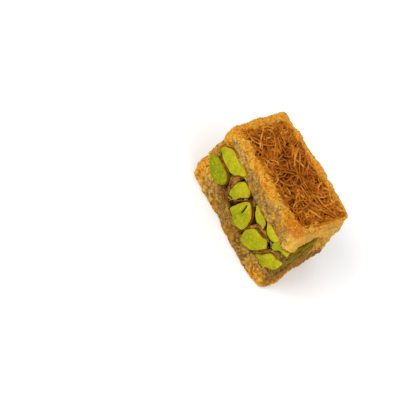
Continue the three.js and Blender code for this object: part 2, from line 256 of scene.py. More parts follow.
# Kernels that show on the other sides: place along the side, height, length, width, turn in degrees,
# greenness
SIDE_KERNELS = {
    "right": [
        (-5.8, 12.7, 10.6, 4.4, 5, 0.9), (-7.4, 17.4, 7.4, 2.8, 12, 0.7), (2.2, 13.0, 6.2, 3.6, -24, 0.8),
        (-2.6, 21.2, 4.6, 1.3, 3, 0.3), (0.4, 17.4, 6.6, 3.0, 16, 0.6), (-1.4, 9.2, 5.4, 2.2, -6, 0.5),
    ],
    "back": [
        (-20.4, 13.6, 11.0, 6.2, 76, 0.4), (-12.4, 17.7, 11.8, 6.0, 16, 0.5),
        (-11.4, 10.4, 10.6, 5.8, -10, 0.7),
        (-3.2, 14.4, 11.2, 6.4, 84, 0.3), (4.4, 18.3, 10.6, 5.0, -12, 0.6), (5.0, 11.0, 10.8, 6.0, 8, 0.5),
        (12.8, 14.6, 11.4, 6.0, 60, 0.4), (17.6, 11.6, 7.6, 4.4, -76, 0.8), (-16.6, 20.2, 5.0, 2.4, 8, 0.6),
        (9.0, 8.6, 4.4, 2.2, -10, 0.7), (-6.8, 20.0, 5.2, 2.6, -24, 0.4),
    ],
    "left": [
        (-5.2, 18.4, 7.4, 4.8, 32, 0.4), (-3.8, 14.0, 7.8, 4.4, -20, 0.8), (1.6, 19.4, 7.6, 4.2, -8, 0.5),
        (3.4, 13.6, 7.4, 5.4, 50, 0.3), (8.2, 17.6, 6.8, 4.8, -62, 0.6), (9.4, 11.2, 6.6, 4.4, 12, 0.5),
    ],
}
SIDE_KERNELS_SUNK = (0.2, 0.5)
KERNEL_TAPER = 0.2
KERNEL_UNEVEN = 0.06
KERNEL_BLUNT = (0.7, 1.0)
# How far the kernels of the right end are painted browner, as painted shade on that end
RIGHT_END_SHADE = 0.72

# A kernel from the middle of its cut face round the edge to its inner end: share of the outline, and depth
KERNEL_PROFILE = [
    (0, 0), (0.12, 0), (0.24, 0.01), (0.36, 0.02), (0.48, 0.03), (0.6, 0.04), (0.71, 0.05), (0.81, 0.06),
    (0.89, 0.08), (0.95, 0.14), (0.985, 0.28), (1.0, 0.6), (1.0, 1.3), (0.96, 2.0), (0.86, 2.8),
    (0.66, 3.5), (0.36, 4.0), (0, 4.2),
]
KERNEL_SEGMENTS = 56

# The way along and up a wall towards the light, in which each kernel's cut face is painted paler and yellower
# as painted light, how far its cut face stands out, domes, tilts and wanders, and how much its outline
# wobbles
KERNEL_LIT_WAY = np.array([0.3, 0.85])
KERNEL_PROUD = 0.3
KERNEL_DOME = 0.14
KERNEL_TILT = 0.035
CUT_WANDER = 0.12
CUT_WANDER_SIZE = 1.7
KERNEL_WOBBLE = 0.16
KERNEL_WOBBLE_SIZE = 1.3
SLIT_WIDTH = 0.55
SLIT_DEPTH = 1.4
CURVE_STEPS = 24

# Scraps of brown skin between the front kernels, as paths of points (x, z), each with its width and redness
FRONT_SKINS = [
    (0.9, 0.0, [(5.5, 9.6), (6.1, 12.0), (7.4, 14.4), (9.2, 16.1), (11.4, 16.7), (13.8, 16.7)]),
    (0.5, 0.2, [(6.6, 14.2), (8.6, 16.6), (12, 17.4), (14.6, 17.2)]),
    (0.6, 0.1, [(13.2, 7.0), (15.2, 9.6), (16.5, 12.0), (17.6, 14.4), (19.4, 16.2), (22.5, 17.4)]),
    (0.5, 0.0, [(12.9, 7.4), (14.8, 10.2), (16.2, 12.9), (16.4, 14.4)]),
    (0.4, 0.4, [(-6, 9.6), (-5.0, 11.8), (-3.5, 14.4), (-1.5, 17.2)]),
    (0.35, 0.8, [(2.2, 17.8), (4.4, 15.9), (5.5, 12.8), (5.5, 9.5)]),
    (0.4, 0.5, [(-22, 17.1), (-18, 16.0), (-14.5, 16.1)]),
    (0.4, 0.9, [(-23.5, 20.2), (-21.9, 22.4), (-19.4, 24.2), (-15, 24.4), (-10.4, 24.4)]),
    (0.5, 1.0, [(1.2, 19.6), (2.6, 21.0), (4.6, 21.3), (6.8, 21.2)]),
    (0.4, 0.3, [(-8, 21.6), (-9.5, 20), (-11.3, 18.2), (-12.8, 16.2)]),
    (0.5, 0.0, [(-8.8, 20), (-9.8, 17), (-9.8, 12.5), (-9.2, 10)]),
    (0.5, 0.1, [(14.8, 17.3), (16.0, 17.0), (17.0, 15.0)]),
    (0.4, 0.4, [(-4.9, 7.7), (-2.6, 6.8), (-0.6, 5.5), (2.2, 6.0), (4.8, 7.4)]),
    (0.4, 0.8, [(-11.9, 9.4), (-9.4, 9.2), (-7.4, 8.2), (-4.4, 7.4)]),
    (0.4, 0.9, [(16.8, 6.6), (19.6, 6.9), (21.2, 8.6), (24.2, 10.6), (24.4, 14.0)]),
]
SKIN_RINGS = 26
SKIN_SIDES = 8
SKIN_DEPTH = 0.45
SKIN_HALF_THICKNESS = 0.55
SKIN_FRAY = 0.35
SIDE_SKIN_WIDTH = (0.4, 0.8)

# Gaps between the front kernels, sunk deep and painted black as painted shade, as paths of points (x, z),
# each with its width
FRONT_PITS = [
    (0.9, [(-13.8, 15.4), (-12.4, 13.0), (-11.8, 10.0)]),
    (0.7, [(-4.9, 9.4), (-4.2, 12.2)]),
    (0.7, [(-4.4, 13.6), (-2.6, 16.2)]),
    (0.6, [(-2.2, 17.7), (-0.9, 18.4)]),
    (1.2, [(5.7, 13.4), (6.3, 15.8)]),
    (0.8, [(16.6, 12.4), (18.0, 14.8)]),
    (0.7, [(18.8, 17.4), (20.6, 17.9)]),
    (0.6, [(-9.4, 19.2), (-8.0, 19.8)]),
    (0.6, [(9.6, 19.6), (11.2, 17.6)]),
    (0.5, [(-22.0, 17.6), (-20.4, 16.6), (-14.4, 16.1)]),
]

# Clusters of pale crumbs stuck in the front: place (x, z), spread and how many
PALE_CLUSTERS = [
    (-7.6, 21.6, 0.5, 18), (9.4, 17.8, 0.35, 14), (20.8, 18.0, 0.25, 6), (-23.4, 17.0, 0.9, 20),
    (-22.6, 11.9, 0.5, 12), (-2.4, 16.9, 0.3, 6), (15.2, 16.4, 0.4, 6), (-6.8, 10.4, 0.35, 8),
]

# How bright the stage makes a white surface that faces its lights
STAGE_LIGHT = 1.2

# The strands: rings and sides of one, the heights that they fill and how much one slopes and waves up and
# down
STRAND_RINGS = 16
STRAND_SIDES = 5
STRAND_LOWEST = 27.3
STRAND_HIGHEST = 29.65
STRAND_SLOPE = 0.06
STRAND_WAVE = 0.3
STRAND_WAVE_TURN = 0.55

# They lie in bundles. Some are curled and the others bend a little, in radians a millimetre. Each may stray
# so far over the mat's border, or turns back so far inside it
STRANDS_A_BUNDLE = 4
BUNDLE_SPREAD = 1.1
BUNDLE_TURN = 0.25
STRAND_LENGTH = (7, 21)
CURLED_SHARE = 0.3
STRAND_CURL = (0.25, 0.6)
STRAND_BEND = (0.02, 0.18)
STRAND_JITTER = 0.07
MOST_STRAY = 1.2
LEAST_STRAY = -1.0

# A shallow hollow in the mat, as the layer and width of the unevenness that it follows, its depth, and how
# far inside the mat it starts and is full
MAT_HOLLOW = {"layer": 361, "size": 4.4, "depth": 0.5, "inside": (1, 4)}

# The floor's reach and the lights' size and place from the aim, in metres. The picture's camera: turns in
# degrees, its aim, distance and offset in millimetres, and lens for its sensor
FLOOR_REACH = 3
KEY_LIGHT = {"size": 0.6, "offset": (-0.30, -0.60, 0.66)}
FILL_LIGHT = {"size": 0.8, "offset": (0.60, -0.25, 0.60)}
CAMERA = {
    "azimuth": 26.9105, "elevation": 47.7946, "roll": 38.3648, "distance": 424.83, "aim": (-1.8, 0.4, 14.0),
    "right": 22.291, "up": 4.141, "lens": 103.846, "sensor": 36.0,
}


def paint(red, green, blue):
    """The surface colour that looks so, from 0 to 255, in this stage's light."""
    seen = Color((red / 255, green / 255, blue / 255)).from_srgb_to_scene_linear()
    return tuple(seen / STAGE_LIGHT)


def mix(start, end, share):
    """The value a share of the way from start to end."""
    return start + (end - start) * share


def ease(value, low=0.0, high=1.0):
    """0 below low and 1 above high, with a smooth step between."""
    share = np.clip((value - low) / (high - low), 0, 1)
    return share * share * (3 - 2 * share)


def lattice_value(*cell):
    """A repeatable number from -1 to 1 for each point of a whole-number lattice."""
    bits = 0xFFFFFFFF
    seed = np.zeros_like(cell[0])
    for place, factor in zip(cell, (374761393, 668265263, 1274126177)):
        seed = seed ^ (place * factor & bits)
    state = seed + 0x6D2B79F5 & bits
    mixed = (state ^ state >> 15) * (1 | state) & bits
    mixed = (mixed + (mixed ^ mixed >> 7) * (61 | mixed) & bits) ^ mixed
    return (mixed ^ mixed >> 14) / 2**31 - 1


def unevenness(x, y, z, size):
    """Smooth unevenness from -1 to 1 whose bumps are about as wide as size."""
    scaled = [np.broadcast_to(value, np.shape(x)) / size for value in (x, y, z)]
    cells = [np.floor(value).astype(np.int64) for value in scaled]
    shares = [ease(value - cell) for value, cell in zip(scaled, cells)]
    total = 0
    for corner in np.ndindex(2, 2, 2):
        weight = 1
        for step, share in zip(corner, shares):
            weight = weight * (share if step else 1 - share)
        total = total + weight * lattice_value(*(cell + step for cell, step in zip(cells, corner)))
    return total


def height_along(line, x):
    """Height at x of a line given by a few points (x, z), eased from each to the next."""
    places, heights = np.transpose(line)
    after = np.clip(np.searchsorted(places, x, side="right"), 1, len(places) - 1)
    return mix(heights[after - 1], heights[after], ease(x, places[after - 1], places[after]))


def near(spot, a, b):
    """How near points are to a spot, from 0 to 1."""
    middle_a, middle_b, reach_a, reach_b = spot
    return np.exp(-(((a - middle_a) / reach_a) ** 2 + ((b - middle_b) / reach_b) ** 2))


def fades(listed, *place):
    """The most that any of the listed fades gives at a place."""
    values = []
    for weight, bands in listed:
        for axis, (low, high) in bands.items():
            along = place["xyz".index(axis[-1])]
            weight = weight * ease(-along if axis[0] == "-" else along, low, high)
        values.append(weight)
    return np.maximum.reduce(values)


def boundary(front, back, x, y):
    """Height of a layer's boundary between its front and back lines. It wanders away from the front."""
    wander = BOUNDARY_WANDER * unevenness(x, y, front[0][1], BOUNDARY_SIZE) * ease(y, *FRONT_BAND)
    return mix(height_along(front, x), height_along(back, x), ease(y, -HALF_WIDTH, HALF_WIDTH)) + wander


def crust_top(x, y):
    """Height where the crumb base meets the filling."""
    return boundary(CRUST_TOP_FRONT, CRUST_TOP_BACK, x, y)


def crumb_under(x, y):
    """Height where the filling meets the crumb top."""
    return boundary(CRUMB_UNDER_FRONT, CRUMB_UNDER_BACK, x, y) - CORNER_DROP * near(CORNER_SPOT, x, y)


def corner_at(index, z):
    """A corner of the plan at height z, as its x and its y."""
    return mix(BASE_PLAN[index][:, None], TOP_PLAN[index][:, None], np.atleast_1d(z) / RIM_HEIGHT)


def swell(side, u):
    """How far a swell pushes a side out at the share u of the length."""
    return side["size"] * np.exp(-(((u - side["middle"]) / side["spread"]) ** 2))


def round_corners(u, v, radius):
    """Draws the corners of the square of u and v in to quarter circles of the plan."""
    clear_u, clear_v = 1 - radius / HALF_LENGTH, 1 - radius / HALF_WIDTH
    a = np.maximum((np.abs(u) - clear_u) / (1 - clear_u), 0)
    b = np.maximum((np.abs(v) - clear_v) / (1 - clear_v), 0)
    rounded = (a > 0) & (b > 0)
    draw = np.where(rounded, np.maximum(a, b) / np.maximum(np.hypot(a, b), 1e-9), 1)
    round_u = np.sign(u) * (clear_u + a * draw * (1 - clear_u))
    round_v = np.sign(v) * (clear_v + b * draw * (1 - clear_v))
    return np.where(rounded, round_u, u), np.where(rounded, round_v, v)


def block_point(u, v, z, inset, radius=None):
    """The place in the plan at u and v, from -1 to 1, and height z, drawn in from the wall by inset."""
    rise = z / RIM_HEIGHT
    if radius is None:
        radius = mix(BASE_CORNER_RADIUS, TOP_CORNER_RADIUS, rise)
    round_u, round_v = round_corners(u, v, radius)
    a = (1 + round_u * (1 - inset / HALF_LENGTH)) / 2
    b = (1 + round_v * (1 - inset / HALF_WIDTH)) / 2
    corners = [corner_at(index, z) for index in range(4)]
    x, y = mix(mix(corners[0], corners[1], a), mix(corners[3], corners[2], a), b)
    push = swell(BACK_SWELL, u) * b * rise - swell(FRONT_SWELL, u) * (1 - b) * (1 - rise)
    corner_push = CORNER_SWELL * near(CORNER_SPOT, x, y) * np.sin(np.pi * np.clip(rise, 0, 1))
    upright = ease(z, *UPRIGHT_FROM) * (1 - ease(z, *UPRIGHT_TO))
    upright_push = UPRIGHT_SWELL * near(UPRIGHT_SPOT, x, y) * upright
    return x + corner_push + upright_push, y + push + corner_push


def wall_point(wall, along, height, inset):
    """Points of a wall at places along it and heights, drawn in by inset."""
    start, end, axis = WALLS[wall]
    low, high = corner_at(start, height)[axis], corner_at(end, height)[axis]
    run = np.clip(2 * (along - low) / (high - low) - 1, -1, 1)
    side = np.ones_like(run) * (-1 if wall in ("front", "left") else 1)
    u, v = (run, side) if axis == 0 else (side, run)
    x, y = block_point(u, v, height, inset, CUT_CORNER_RADIUS)
    return np.stack([x, y, height], axis=1)


def edge_inset(distance, radius):
    """How far a rounded edge draws the wall in at a distance from the edge's plane."""
    short = np.maximum(radius - np.maximum(distance, 0), 0)
    return radius - np.sqrt(radius**2 - short**2)


def crag(x, y, z):
    """How far a crag of the crumb stands out of a wall."""
    return CRAG_DEPTH * unevenness(x, y, z, CRAG_SIZE) + STEP_DEPTH * unevenness(x, y, z, STEP_SIZE)


def inside_mat(x, y):
    """How far inside the strand mat a point of the plan is, with the mat's corners rounded off."""
    sides = [x - MAT["left"], MAT["right"] - x, y - MAT["front"], MAT["back"] - y]
    return -MAT["round"] * np.log(sum(np.exp(-side / MAT["round"]) for side in sides))


def mat_share(x, y, wider=0.0):
    """How deep in the strand mat's bed a point of the plan is: 0 on the rim, 1 on the sunken bed."""
    wander = sum(depth * unevenness(x, y, layer, size) for depth, layer, size in MAT["waves"])
    return ease(inside_mat(x, y) + wander + wider, 0, MAT["border"])


def lump_share(x, y):
    """Where lumps of glazed crumb stand up among the strands, from 0 to 1."""
    lumps = ease(unevenness(x, y, LUMPS["layer"], LUMPS["size"]), LUMPS["from"], LUMPS["to"])
    return lumps * (1 - ease(inside_mat(x, y), *LUMPS["near"]))


def glaze_share(x, y):
    """How deep orange the crumb of the rim is: on the bed's border, along the back and right, and in the
    front right corner of the top."""
    uneven = 0.7 + 0.3 * unevenness(x, y, GLAZE["layer"], GLAZE["size"])
    border = mat_share(x, y, GLAZE["wider"]) * uneven * mix(0.3, 1, ease(y, *GLAZE_FRONT))
    strengths = [GLAZE["border"] * border, GLAZE["far"] * fades(GLAZE_FAR, x, y),
                 GLAZE["corner"] * near(GLAZE_SPOT, x, y)]
    return np.clip(np.maximum.reduce(strengths), 0, GLAZE["most"])


def shape_layer(cube, floor, ceiling, inset, rows, radius=None):
    """The points of a cube of side 2 moved to a layer of the block between two heights over the plan."""
    u, v, share = cube[:, 0], cube[:, 1], rows((cube[:, 2] + 1) / 2)
    x, y = block_point(u, v, np.full(len(u), RIM_HEIGHT / 2), 0, radius)
    for _ in range(3):
        z = mix(floor(x, y), ceiling(x, y), share)
        x, y = block_point(u, v, z, inset(*block_point(u, v, z, 0, radius), z), radius)
    return np.stack([x, y, z], axis=1)


# Meshes and their points


def points_of(mesh):
    """The places of a mesh's points."""
    places = np.empty(len(mesh.vertices) * 3)
    mesh.vertices.foreach_get("co", places)
    return places.reshape(-1, 3)


def normals_of(mesh):
    """The normals of a mesh at its points."""
    normals = np.empty(len(mesh.vertices) * 3)
    mesh.vertex_normals.foreach_get("vector", normals)
    return normals.reshape(-1, 3)


def move_points(mesh, places):
    """Moves a mesh's points."""
    mesh.vertices.foreach_set("co", np.ascontiguousarray(places, dtype=np.float32).ravel())
    mesh.update()


def keep_values(mesh, **listed):
    """Keeps numbers at the points of a mesh, for its material to read. In a mesh of many copies, a list may
    have one number for each copy."""
    for name, values in listed.items():
        layer = mesh.attributes.new(name, "FLOAT", "POINT")
        each = len(mesh.vertices) // len(values)
        layer.data.foreach_set("value", np.repeat(values, each).astype(np.float32))


def mesh_from(bm, name):
    """A mesh of a bmesh whose faces point outwards."""
    bmesh.ops.recalc_face_normals(bm, faces=bm.faces[:])
    mesh = bpy.data.meshes.new(name)
    bm.to_mesh(mesh)
    bm.free()
    return mesh


def cut_cube(cuts, name):
    """A cube of side 2 with its edges cut evenly along each axis."""
    bm = bmesh.new()
    bmesh.ops.create_cube(bm, size=2)
    for axis, count in enumerate(cuts):
        along = [edge for edge in bm.edges if edge.verts[0].co[axis] != edge.verts[1].co[axis]]
        bmesh.ops.subdivide_edges(bm, edges=along, cuts=count, use_grid_fill=True)
    return mesh_from(bm, name)


def cut_rod(sides, rings, name):
    """A closed rod of radius 1 from z 0 to 1, cut into rings."""
    bm = bmesh.new()
    bmesh.ops.create_cone(bm, cap_ends=True, segments=sides, radius1=1, radius2=1, depth=1)
    along = [edge for edge in bm.edges if edge.verts[0].co.z != edge.verts[1].co.z]
    bmesh.ops.subdivide_edges(bm, edges=along, cuts=rings - 2)
    bmesh.ops.translate(bm, verts=bm.verts, vec=(0, 0, 0.5))
    return mesh_from(bm, name)


def turned_profile(profile, segments, name):
    """A closed body turned from a profile of radius and depth."""
    bm = bmesh.new()
    line = [bm.verts.new((radius, 0, -depth)) for radius, depth in profile]
    edges = [bm.edges.new(pair) for pair in zip(line, line[1:])]
    bmesh.ops.spin(bm, geom=line + edges, axis=(0, 0, 1), cent=(0, 0, 0), angle=math.tau, steps=segments,
                   use_merge=True)
    bmesh.ops.remove_doubles(bm, verts=bm.verts, dist=1e-5)
    return mesh_from(bm, name)


def ball(name):
    """A small faceted ball of radius 1."""
    bm = bmesh.new()
    bmesh.ops.create_icosphere(bm, subdivisions=1, radius=1)
    return mesh_from(bm, name)


def repeated(template, count, name):
    """A mesh that holds a template count times over, each copy still at the template's own place."""
    bm = bmesh.new()
    for _ in range(count):
        bm.from_mesh(template)
    mesh = bpy.data.meshes.new(name)
    bm.to_mesh(mesh)
    bm.free()
    return mesh


def finish_piece(mesh, material, node):
    """Puts a mesh in the frame as a smooth piece that stands for a node of the frame."""
    move_points(mesh, (points_of(mesh) + PLAN_SHIFT) * MILLIMETRE)
    mesh.shade_smooth()
    mesh.materials.append(material)
    piece = bpy.data.objects.new(mesh.name, mesh)
    bpy.context.scene.collection.objects.link(piece)
    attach(piece, BODY)
    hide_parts(node)


# Crumb


def grain(place, size):
    """Rounded grains about size across: 0 in the cracks between them and 1 on their tops."""
    closest, second = noise.voronoi(Vector(place) / size)[0][:2]
    return max(0.0, 1 - (closest / 0.85) ** 2) * min(1.0, (second - closest) * 3 + 0.25)


def roughen(mesh, lumps, grains, height):
    """Moves a mesh's points out along their normals by lumps and grains, and keeps how high each stands."""
    places, normals = points_of(mesh), normals_of(mesh)
    lump = np.array([grain(place, lumps) for place in places])
    fine = np.array([grain(place, grains) for place in places])
    rough = np.array([noise.fractal(Vector(place) / lumps, 0.7, 2.1, 4) for place in places])
    patch = ease(unevenness(*places.T, 4.5), -0.5, 0.6)
    relief = np.clip(0.3 * lump * patch + 0.25 * fine + 0.25 + 0.34 * rough, 0, 1)
    places += normals * ((relief - 0.35) * height(places))[:, None]
    keep_values(mesh, relief=relief)
    return places


def roughen_crumb(mesh, settings, toast, low, high):
    """Roughens a crumb layer, from low to high times the lump height as its toast goes from 0 to 1."""
    rise = settings.lump_height / MILLIMETRE
    lumps, grains = settings.lump_size / MILLIMETRE, settings.grain_size / MILLIMETRE * FINE_GRAIN
    return roughen(mesh, lumps, grains, lambda p: rise * mix(low, high, toast_at(p, toast)))


def scatter(mesh, chance, count, random):
    """Picks points of a mesh by their chance, and gives their places and normals."""
    weight = np.maximum(chance, 0)
    picked = random.choice(len(weight), count, p=weight / weight.sum(), replace=False)
    return points_of(mesh)[picked], normals_of(mesh)[picked], picked


def random_turns(count, random):
    """Turns in every direction, as matrices."""
    quaternions = random.normal(size=(count, 4))
    w, x, y, z = (quaternions / np.linalg.norm(quaternions, axis=1)[:, None]).T
    rows = [[1 - 2 * (y * y + z * z), 2 * (x * y - z * w), 2 * (x * z + y * w)],
            [2 * (x * y + z * w), 1 - 2 * (x * x + z * z), 2 * (y * z - x * w)],
            [2 * (x * z - y * w), 2 * (y * z + x * w), 1 - 2 * (x * x + y * y)]]
    return np.moveaxis(np.array(rows), 2, 0)


def loose_crumbs(name, places, normals, radii, sunk, random):
    """Crumbs that sit on a surface, each an uneven ball sunk a share of its radius."""
    count = len(places)
    template = ball(f"{name}_one")
    shape = points_of(template)
    mesh = repeated(template, count, name)
    stretched = shape * random.uniform(0.4, 1.3, (count, 1, 3))
    stretched = stretched * random.uniform(0.75, 1.2, (count, len(shape), 1))
    turned = np.einsum("cij,cpj->cpi", random_turns(count, random), stretched)
    middles = places - normals * (radii * sunk)[:, None]
    move_points(mesh, (middles[:, None] + turned * radii[:, None, None]).reshape(-1, 3))
    return mesh


def grain_radii(smallest, more, count, random):
    """Radii of loose crumbs, most of them near the smallest."""
    return smallest + more * random.random(count) ** 2


def with_clusters(spots, outward, clusters, facing):
    """Spots and their normals with clusters added that all face one way, and a one for each spot of these."""
    added = np.concatenate(clusters)
    ways = np.tile(facing, (len(added), 1))
    return np.concatenate([spots, added]), np.concatenate([outward, ways]), np.ones(len(added))


def top_height(x, y):
    """Height of the top over the plan: the rim, and the sunken bed of the strands."""
    sunk = MAT["depth"] * mat_share(x, y) * (1 - LUMPS["rise"] * lump_share(x, y))
    return RIM_HEIGHT + RIM_CRAG * unevenness(x, y, 0, CRAG_SIZE) - sunk


def top_cluster(x, y, reach, count, random):
    """Places of a few crumbs in a cluster on the top."""
    plan = random.normal((x, y), reach, (count, 2)).T
    return np.stack([*plan, top_height(*plan)], axis=1)


def toast_at(places, toast):
    """How browned a crumb layer is: 0 next to the filling, 1 at its outer edges."""
    x, y, z = places.T
    depth, size = toast["wander"]
    edge = fades(toast["edge"], x, y, z + depth * unevenness(x, y, 0, size))
    patches = TOAST_PATCHES * unevenness(x, y, z, TOAST_PATCH_SIZE)
    return np.clip(np.maximum(edge, fades(toast["sides"], x, y, z)) + patches, 0, 1)


def base_pallor(places):
    """How much paler than the rest the crumb base is, and how much browner where this is below 0: browner in
    places, and painted darker as painted shade on its right end and in a hollow of its front.
    """
    x, y, z = places.T
    # Below 0 the base turns browner; on its right end's wall and in a hollow of its front this is painted
    # shade
    wall = BASE_PLAN[1, 0] - RIGHT_WALL_LEAN * (y - BASE_PLAN[1, 1])
    brown = fades(BASE_BROWN, x, y, z) + fades(RIGHT_WALL_SHADE, x - wall, y, z)
    return fades(BASE_PALE, x, y, z) - brown - fades(HOLLOW_SHADE, x, y, z) * near(HOLLOW_SPOT, x, z)


def top_pallor(places):
    """How much paler than the rest the crumb top is, and how much browner where this is below 0."""
    return fades(TOP_PALE, *places.T) - fades(TOP_BROWN, *places.T)


def near_edge(x, y):
    """How near a point is to an upright edge of the filling, where no gap may cut through the corner."""
    return np.maximum.reduce([near(CORNER_SPOT, x, y), fades(BED_ENDS, x, y), fades(FRONT_RIGHT_EDGE, x, y)])


def gap_share(x, y, z):
    """Where the bed falls back in deep gaps: 0 where crumbs fill it to near the wall, 1 in a gap."""
    return ease(unevenness(x, y, z, GAP_SIZE) - 1.5 * near_edge(x, y), -0.25, 0.35)


def pit_share(x, y, z):
    """How deep in a black gap between the front kernels a point is, from 0 to 1. The gap's black is painted
    shade.
    """
    share = np.zeros(np.shape(x))
    for width, path in FRONT_PITS:
        for segment in zip(path, path[1:]):
            share = np.maximum(share, ease(1.3 - distance_to(segment, np.stack([x, z], axis=1)) / width))
    return share * ease(-y, 9, 10.5)


# Kernels and skins


def smooth_curve(points, count, closed):
    """Evenly spaced points of a smooth curve through a few points."""
    corners = np.array(points, float)
    spans = len(corners) - (not closed)
    steps = np.arange(spans * CURVE_STEPS + (not closed)) / CURVE_STEPS
    first = np.minimum(steps.astype(int), spans - 1)
    share = (steps - first)[:, None]
    mode = "wrap" if closed else "clip"
    around = (np.take(corners, first + offset, axis=0, mode=mode) for offset in (-1, 0, 1, 2))
    before, start, end, after = around
    bend = 2 * before - 5 * start + 4 * end - after
    twist = 3 * (start - end) + after - before
    line = start + 0.5 * share * (end - before + share * (bend + share * twist))
    if closed:
        line = np.vstack([line, line[:1]])
    travelled = np.append(0, np.cumsum(np.linalg.norm(np.diff(line, axis=0), axis=1)))
    wanted = np.linspace(0, travelled[-1], count, endpoint=not closed)
    return np.stack([np.interp(wanted, travelled, along) for along in line.T], axis=1)


def egg(along, height, length, width, turn, random):
    """Outline of a kernel on a wall: a long uneven oval, slimmer at one end, with blunt corners."""
    angle = np.arange(14) / 14 * math.tau
    phases = random.uniform(0, math.tau, 3)
    uneven = 1 + sum(KERNEL_UNEVEN * np.cos(times * angle + phase) for times, phase in zip((2, 3, 5), phases))
    blunt = random.uniform(*KERNEL_BLUNT)
    ways = np.sin(angle), np.cos(angle)
    across, lengthways = (np.sign(way) * np.abs(way) ** blunt * uneven for way in ways)
    across = across * (1 - KERNEL_TAPER * np.cos(angle)) * width / 2
    lengthways = lengthways * length / 2
    c, s = math.cos(math.radians(turn)), math.sin(math.radians(turn))
    return np.stack([along + lengthways * c - across * s, height + lengthways * s + across * c], axis=1)


def spine_of(outline):
    """For each point of an outline, the nearest point of the short line through the kernel's middle."""
    middle = outline.mean(axis=0)
    offset = outline - middle
    _, _, axes = np.linalg.svd(offset, full_matrices=False)
    reach = offset @ axes.T
    length, width = reach.max(axis=0) - reach.min(axis=0)
    half = max(length - width, 0) * 0.42
    return middle + np.clip(reach[:, :1], -half, half) * axes[0]


def all_kernels(random):
    """Every kernel that shows: its wall, outline, greenness, how deep it sits and its slit."""
    kernels = [{"wall": "front", "slit": None, **kernel} for kernel in FRONT_KERNELS]
    for wall, listed in SIDE_KERNELS.items():
        for *size, tone in listed:
            kernels.append({
                "wall": wall, "slit": None, "outline": egg(*size, random), "tone": tone,
                "sunk": random.uniform(*SIDE_KERNELS_SUNK),
            })
    return kernels


def distance_to(segment, places):
    """Distance of points from a straight line between two points."""
    start, end = np.array(segment)
    run = end - start
    share = np.clip((places - start) @ run / (run @ run), 0, 1)
    return np.linalg.norm(places - start - share[:, None] * run, axis=1)


def kernel_points(kernel, shape, random):
    """The points of one kernel in the block, how near each is to the edge of the cut, how far in a slit, and
    how green it is. Painted light makes it paler and yellower towards the side that faces the light."""
    outline = smooth_curve(kernel["outline"], KERNEL_SEGMENTS, closed=True)
    wobble = [unevenness(*outline.T, layer, KERNEL_WOBBLE_SIZE) for layer in (5, 25)]
    outline = outline + KERNEL_WOBBLE * np.stack(wobble, axis=1)
    spine = spine_of(outline)
    fraction = np.hypot(shape[:, 0], shape[:, 1])
    angle = np.arctan2(shape[:, 1], shape[:, 0]) / math.tau * KERNEL_SEGMENTS
    index = np.rint(angle).astype(int) % KERNEL_SEGMENTS
    flat = mix(spine[index], outline[index], fraction[:, None])
    flat[fraction < 1e-4] = outline.mean(axis=0)
    offset = flat - outline.mean(axis=0)
    depth = kernel["sunk"] - KERNEL_PROUD - shape[:, 2]
    depth = depth - KERNEL_DOME * np.maximum(1 - fraction**2, 0) * (shape[:, 2] > -1)
    depth = depth + offset @ random.normal(0, KERNEL_TILT, 2)
    depth = depth + CUT_WANDER * unevenness(flat[:, 0], flat[:, 1], 0, CUT_WANDER_SIZE)
    slit = np.zeros(len(shape))
    if kernel["slit"]:
        # The slit is a groove in the cut face, and its inside is also painted dark as painted shade
        slit = np.maximum(1 - distance_to(kernel["slit"], flat) / SLIT_WIDTH, 0) * (shape[:, 2] > -1)
        depth = depth + SLIT_DEPTH * slit
    places = wall_point(kernel["wall"], flat[:, 0], flat[:, 1], depth)
    half = np.abs(outline - outline.mean(axis=0)).max(axis=0)
    # Painted light: the cut face is painted less green towards the side that faces the light, and its edge
    # ring narrower on the other side
    upward = np.clip((offset / half) @ KERNEL_LIT_WAY, -1, 1)
    rim = np.where(shape[:, 2] < -0.3, 1, fraction - 0.1 * (1 - ease(upward, -0.4, 0.6)))
    return places, rim, slit, kernel["tone"] - 0.2 * upward


def kernel_mesh(name, kernels, random):
    """Kernels in their places, with their greenness, nearness to the edge of the cut, and slits."""
    template = turned_profile(KERNEL_PROFILE, KERNEL_SEGMENTS, f"{name}_one")
    shape = points_of(template)
    mesh = repeated(template, len(kernels), name)
    made = [kernel_points(kernel, shape, random) for kernel in kernels]
    places, rim, slit, tone = (np.concatenate(parts) for parts in zip(*made))
    move_points(mesh, places)
    # The kernels of the right end are painted browner, as painted shade on that end
    dull = [RIGHT_END_SHADE * (kernel["wall"] == "right") for kernel in kernels]
    keep_values(mesh, rim=rim, slit=slit, tone=tone, dull=dull)
    return mesh


def pale_cluster(x, z, reach, count, random):
    """Places of a few crumbs in a cluster on the front wall."""
    along, height = random.normal((x, z), reach, (count, 2)).T
    return wall_point("front", along, height, random.uniform(-0.2, 0.5, count))


def side_skins(kernels, random):
    """Scraps of skin that lie round part of each kernel of the walls that aren't listed."""
    skins = []
    for kernel in kernels:
        if kernel["wall"] == "front":
            continue
        outline = smooth_curve(kernel["outline"], 24, closed=True)
        start, span = random.integers(24), random.integers(7, 13)
        middle = outline.mean(axis=0)
        arc = middle + (np.roll(outline, -start, axis=0)[:span:2] - middle) * 1.1
        skins.append((kernel["wall"], random.uniform(*SIDE_SKIN_WIDTH), random.random(), arc))
    return skins


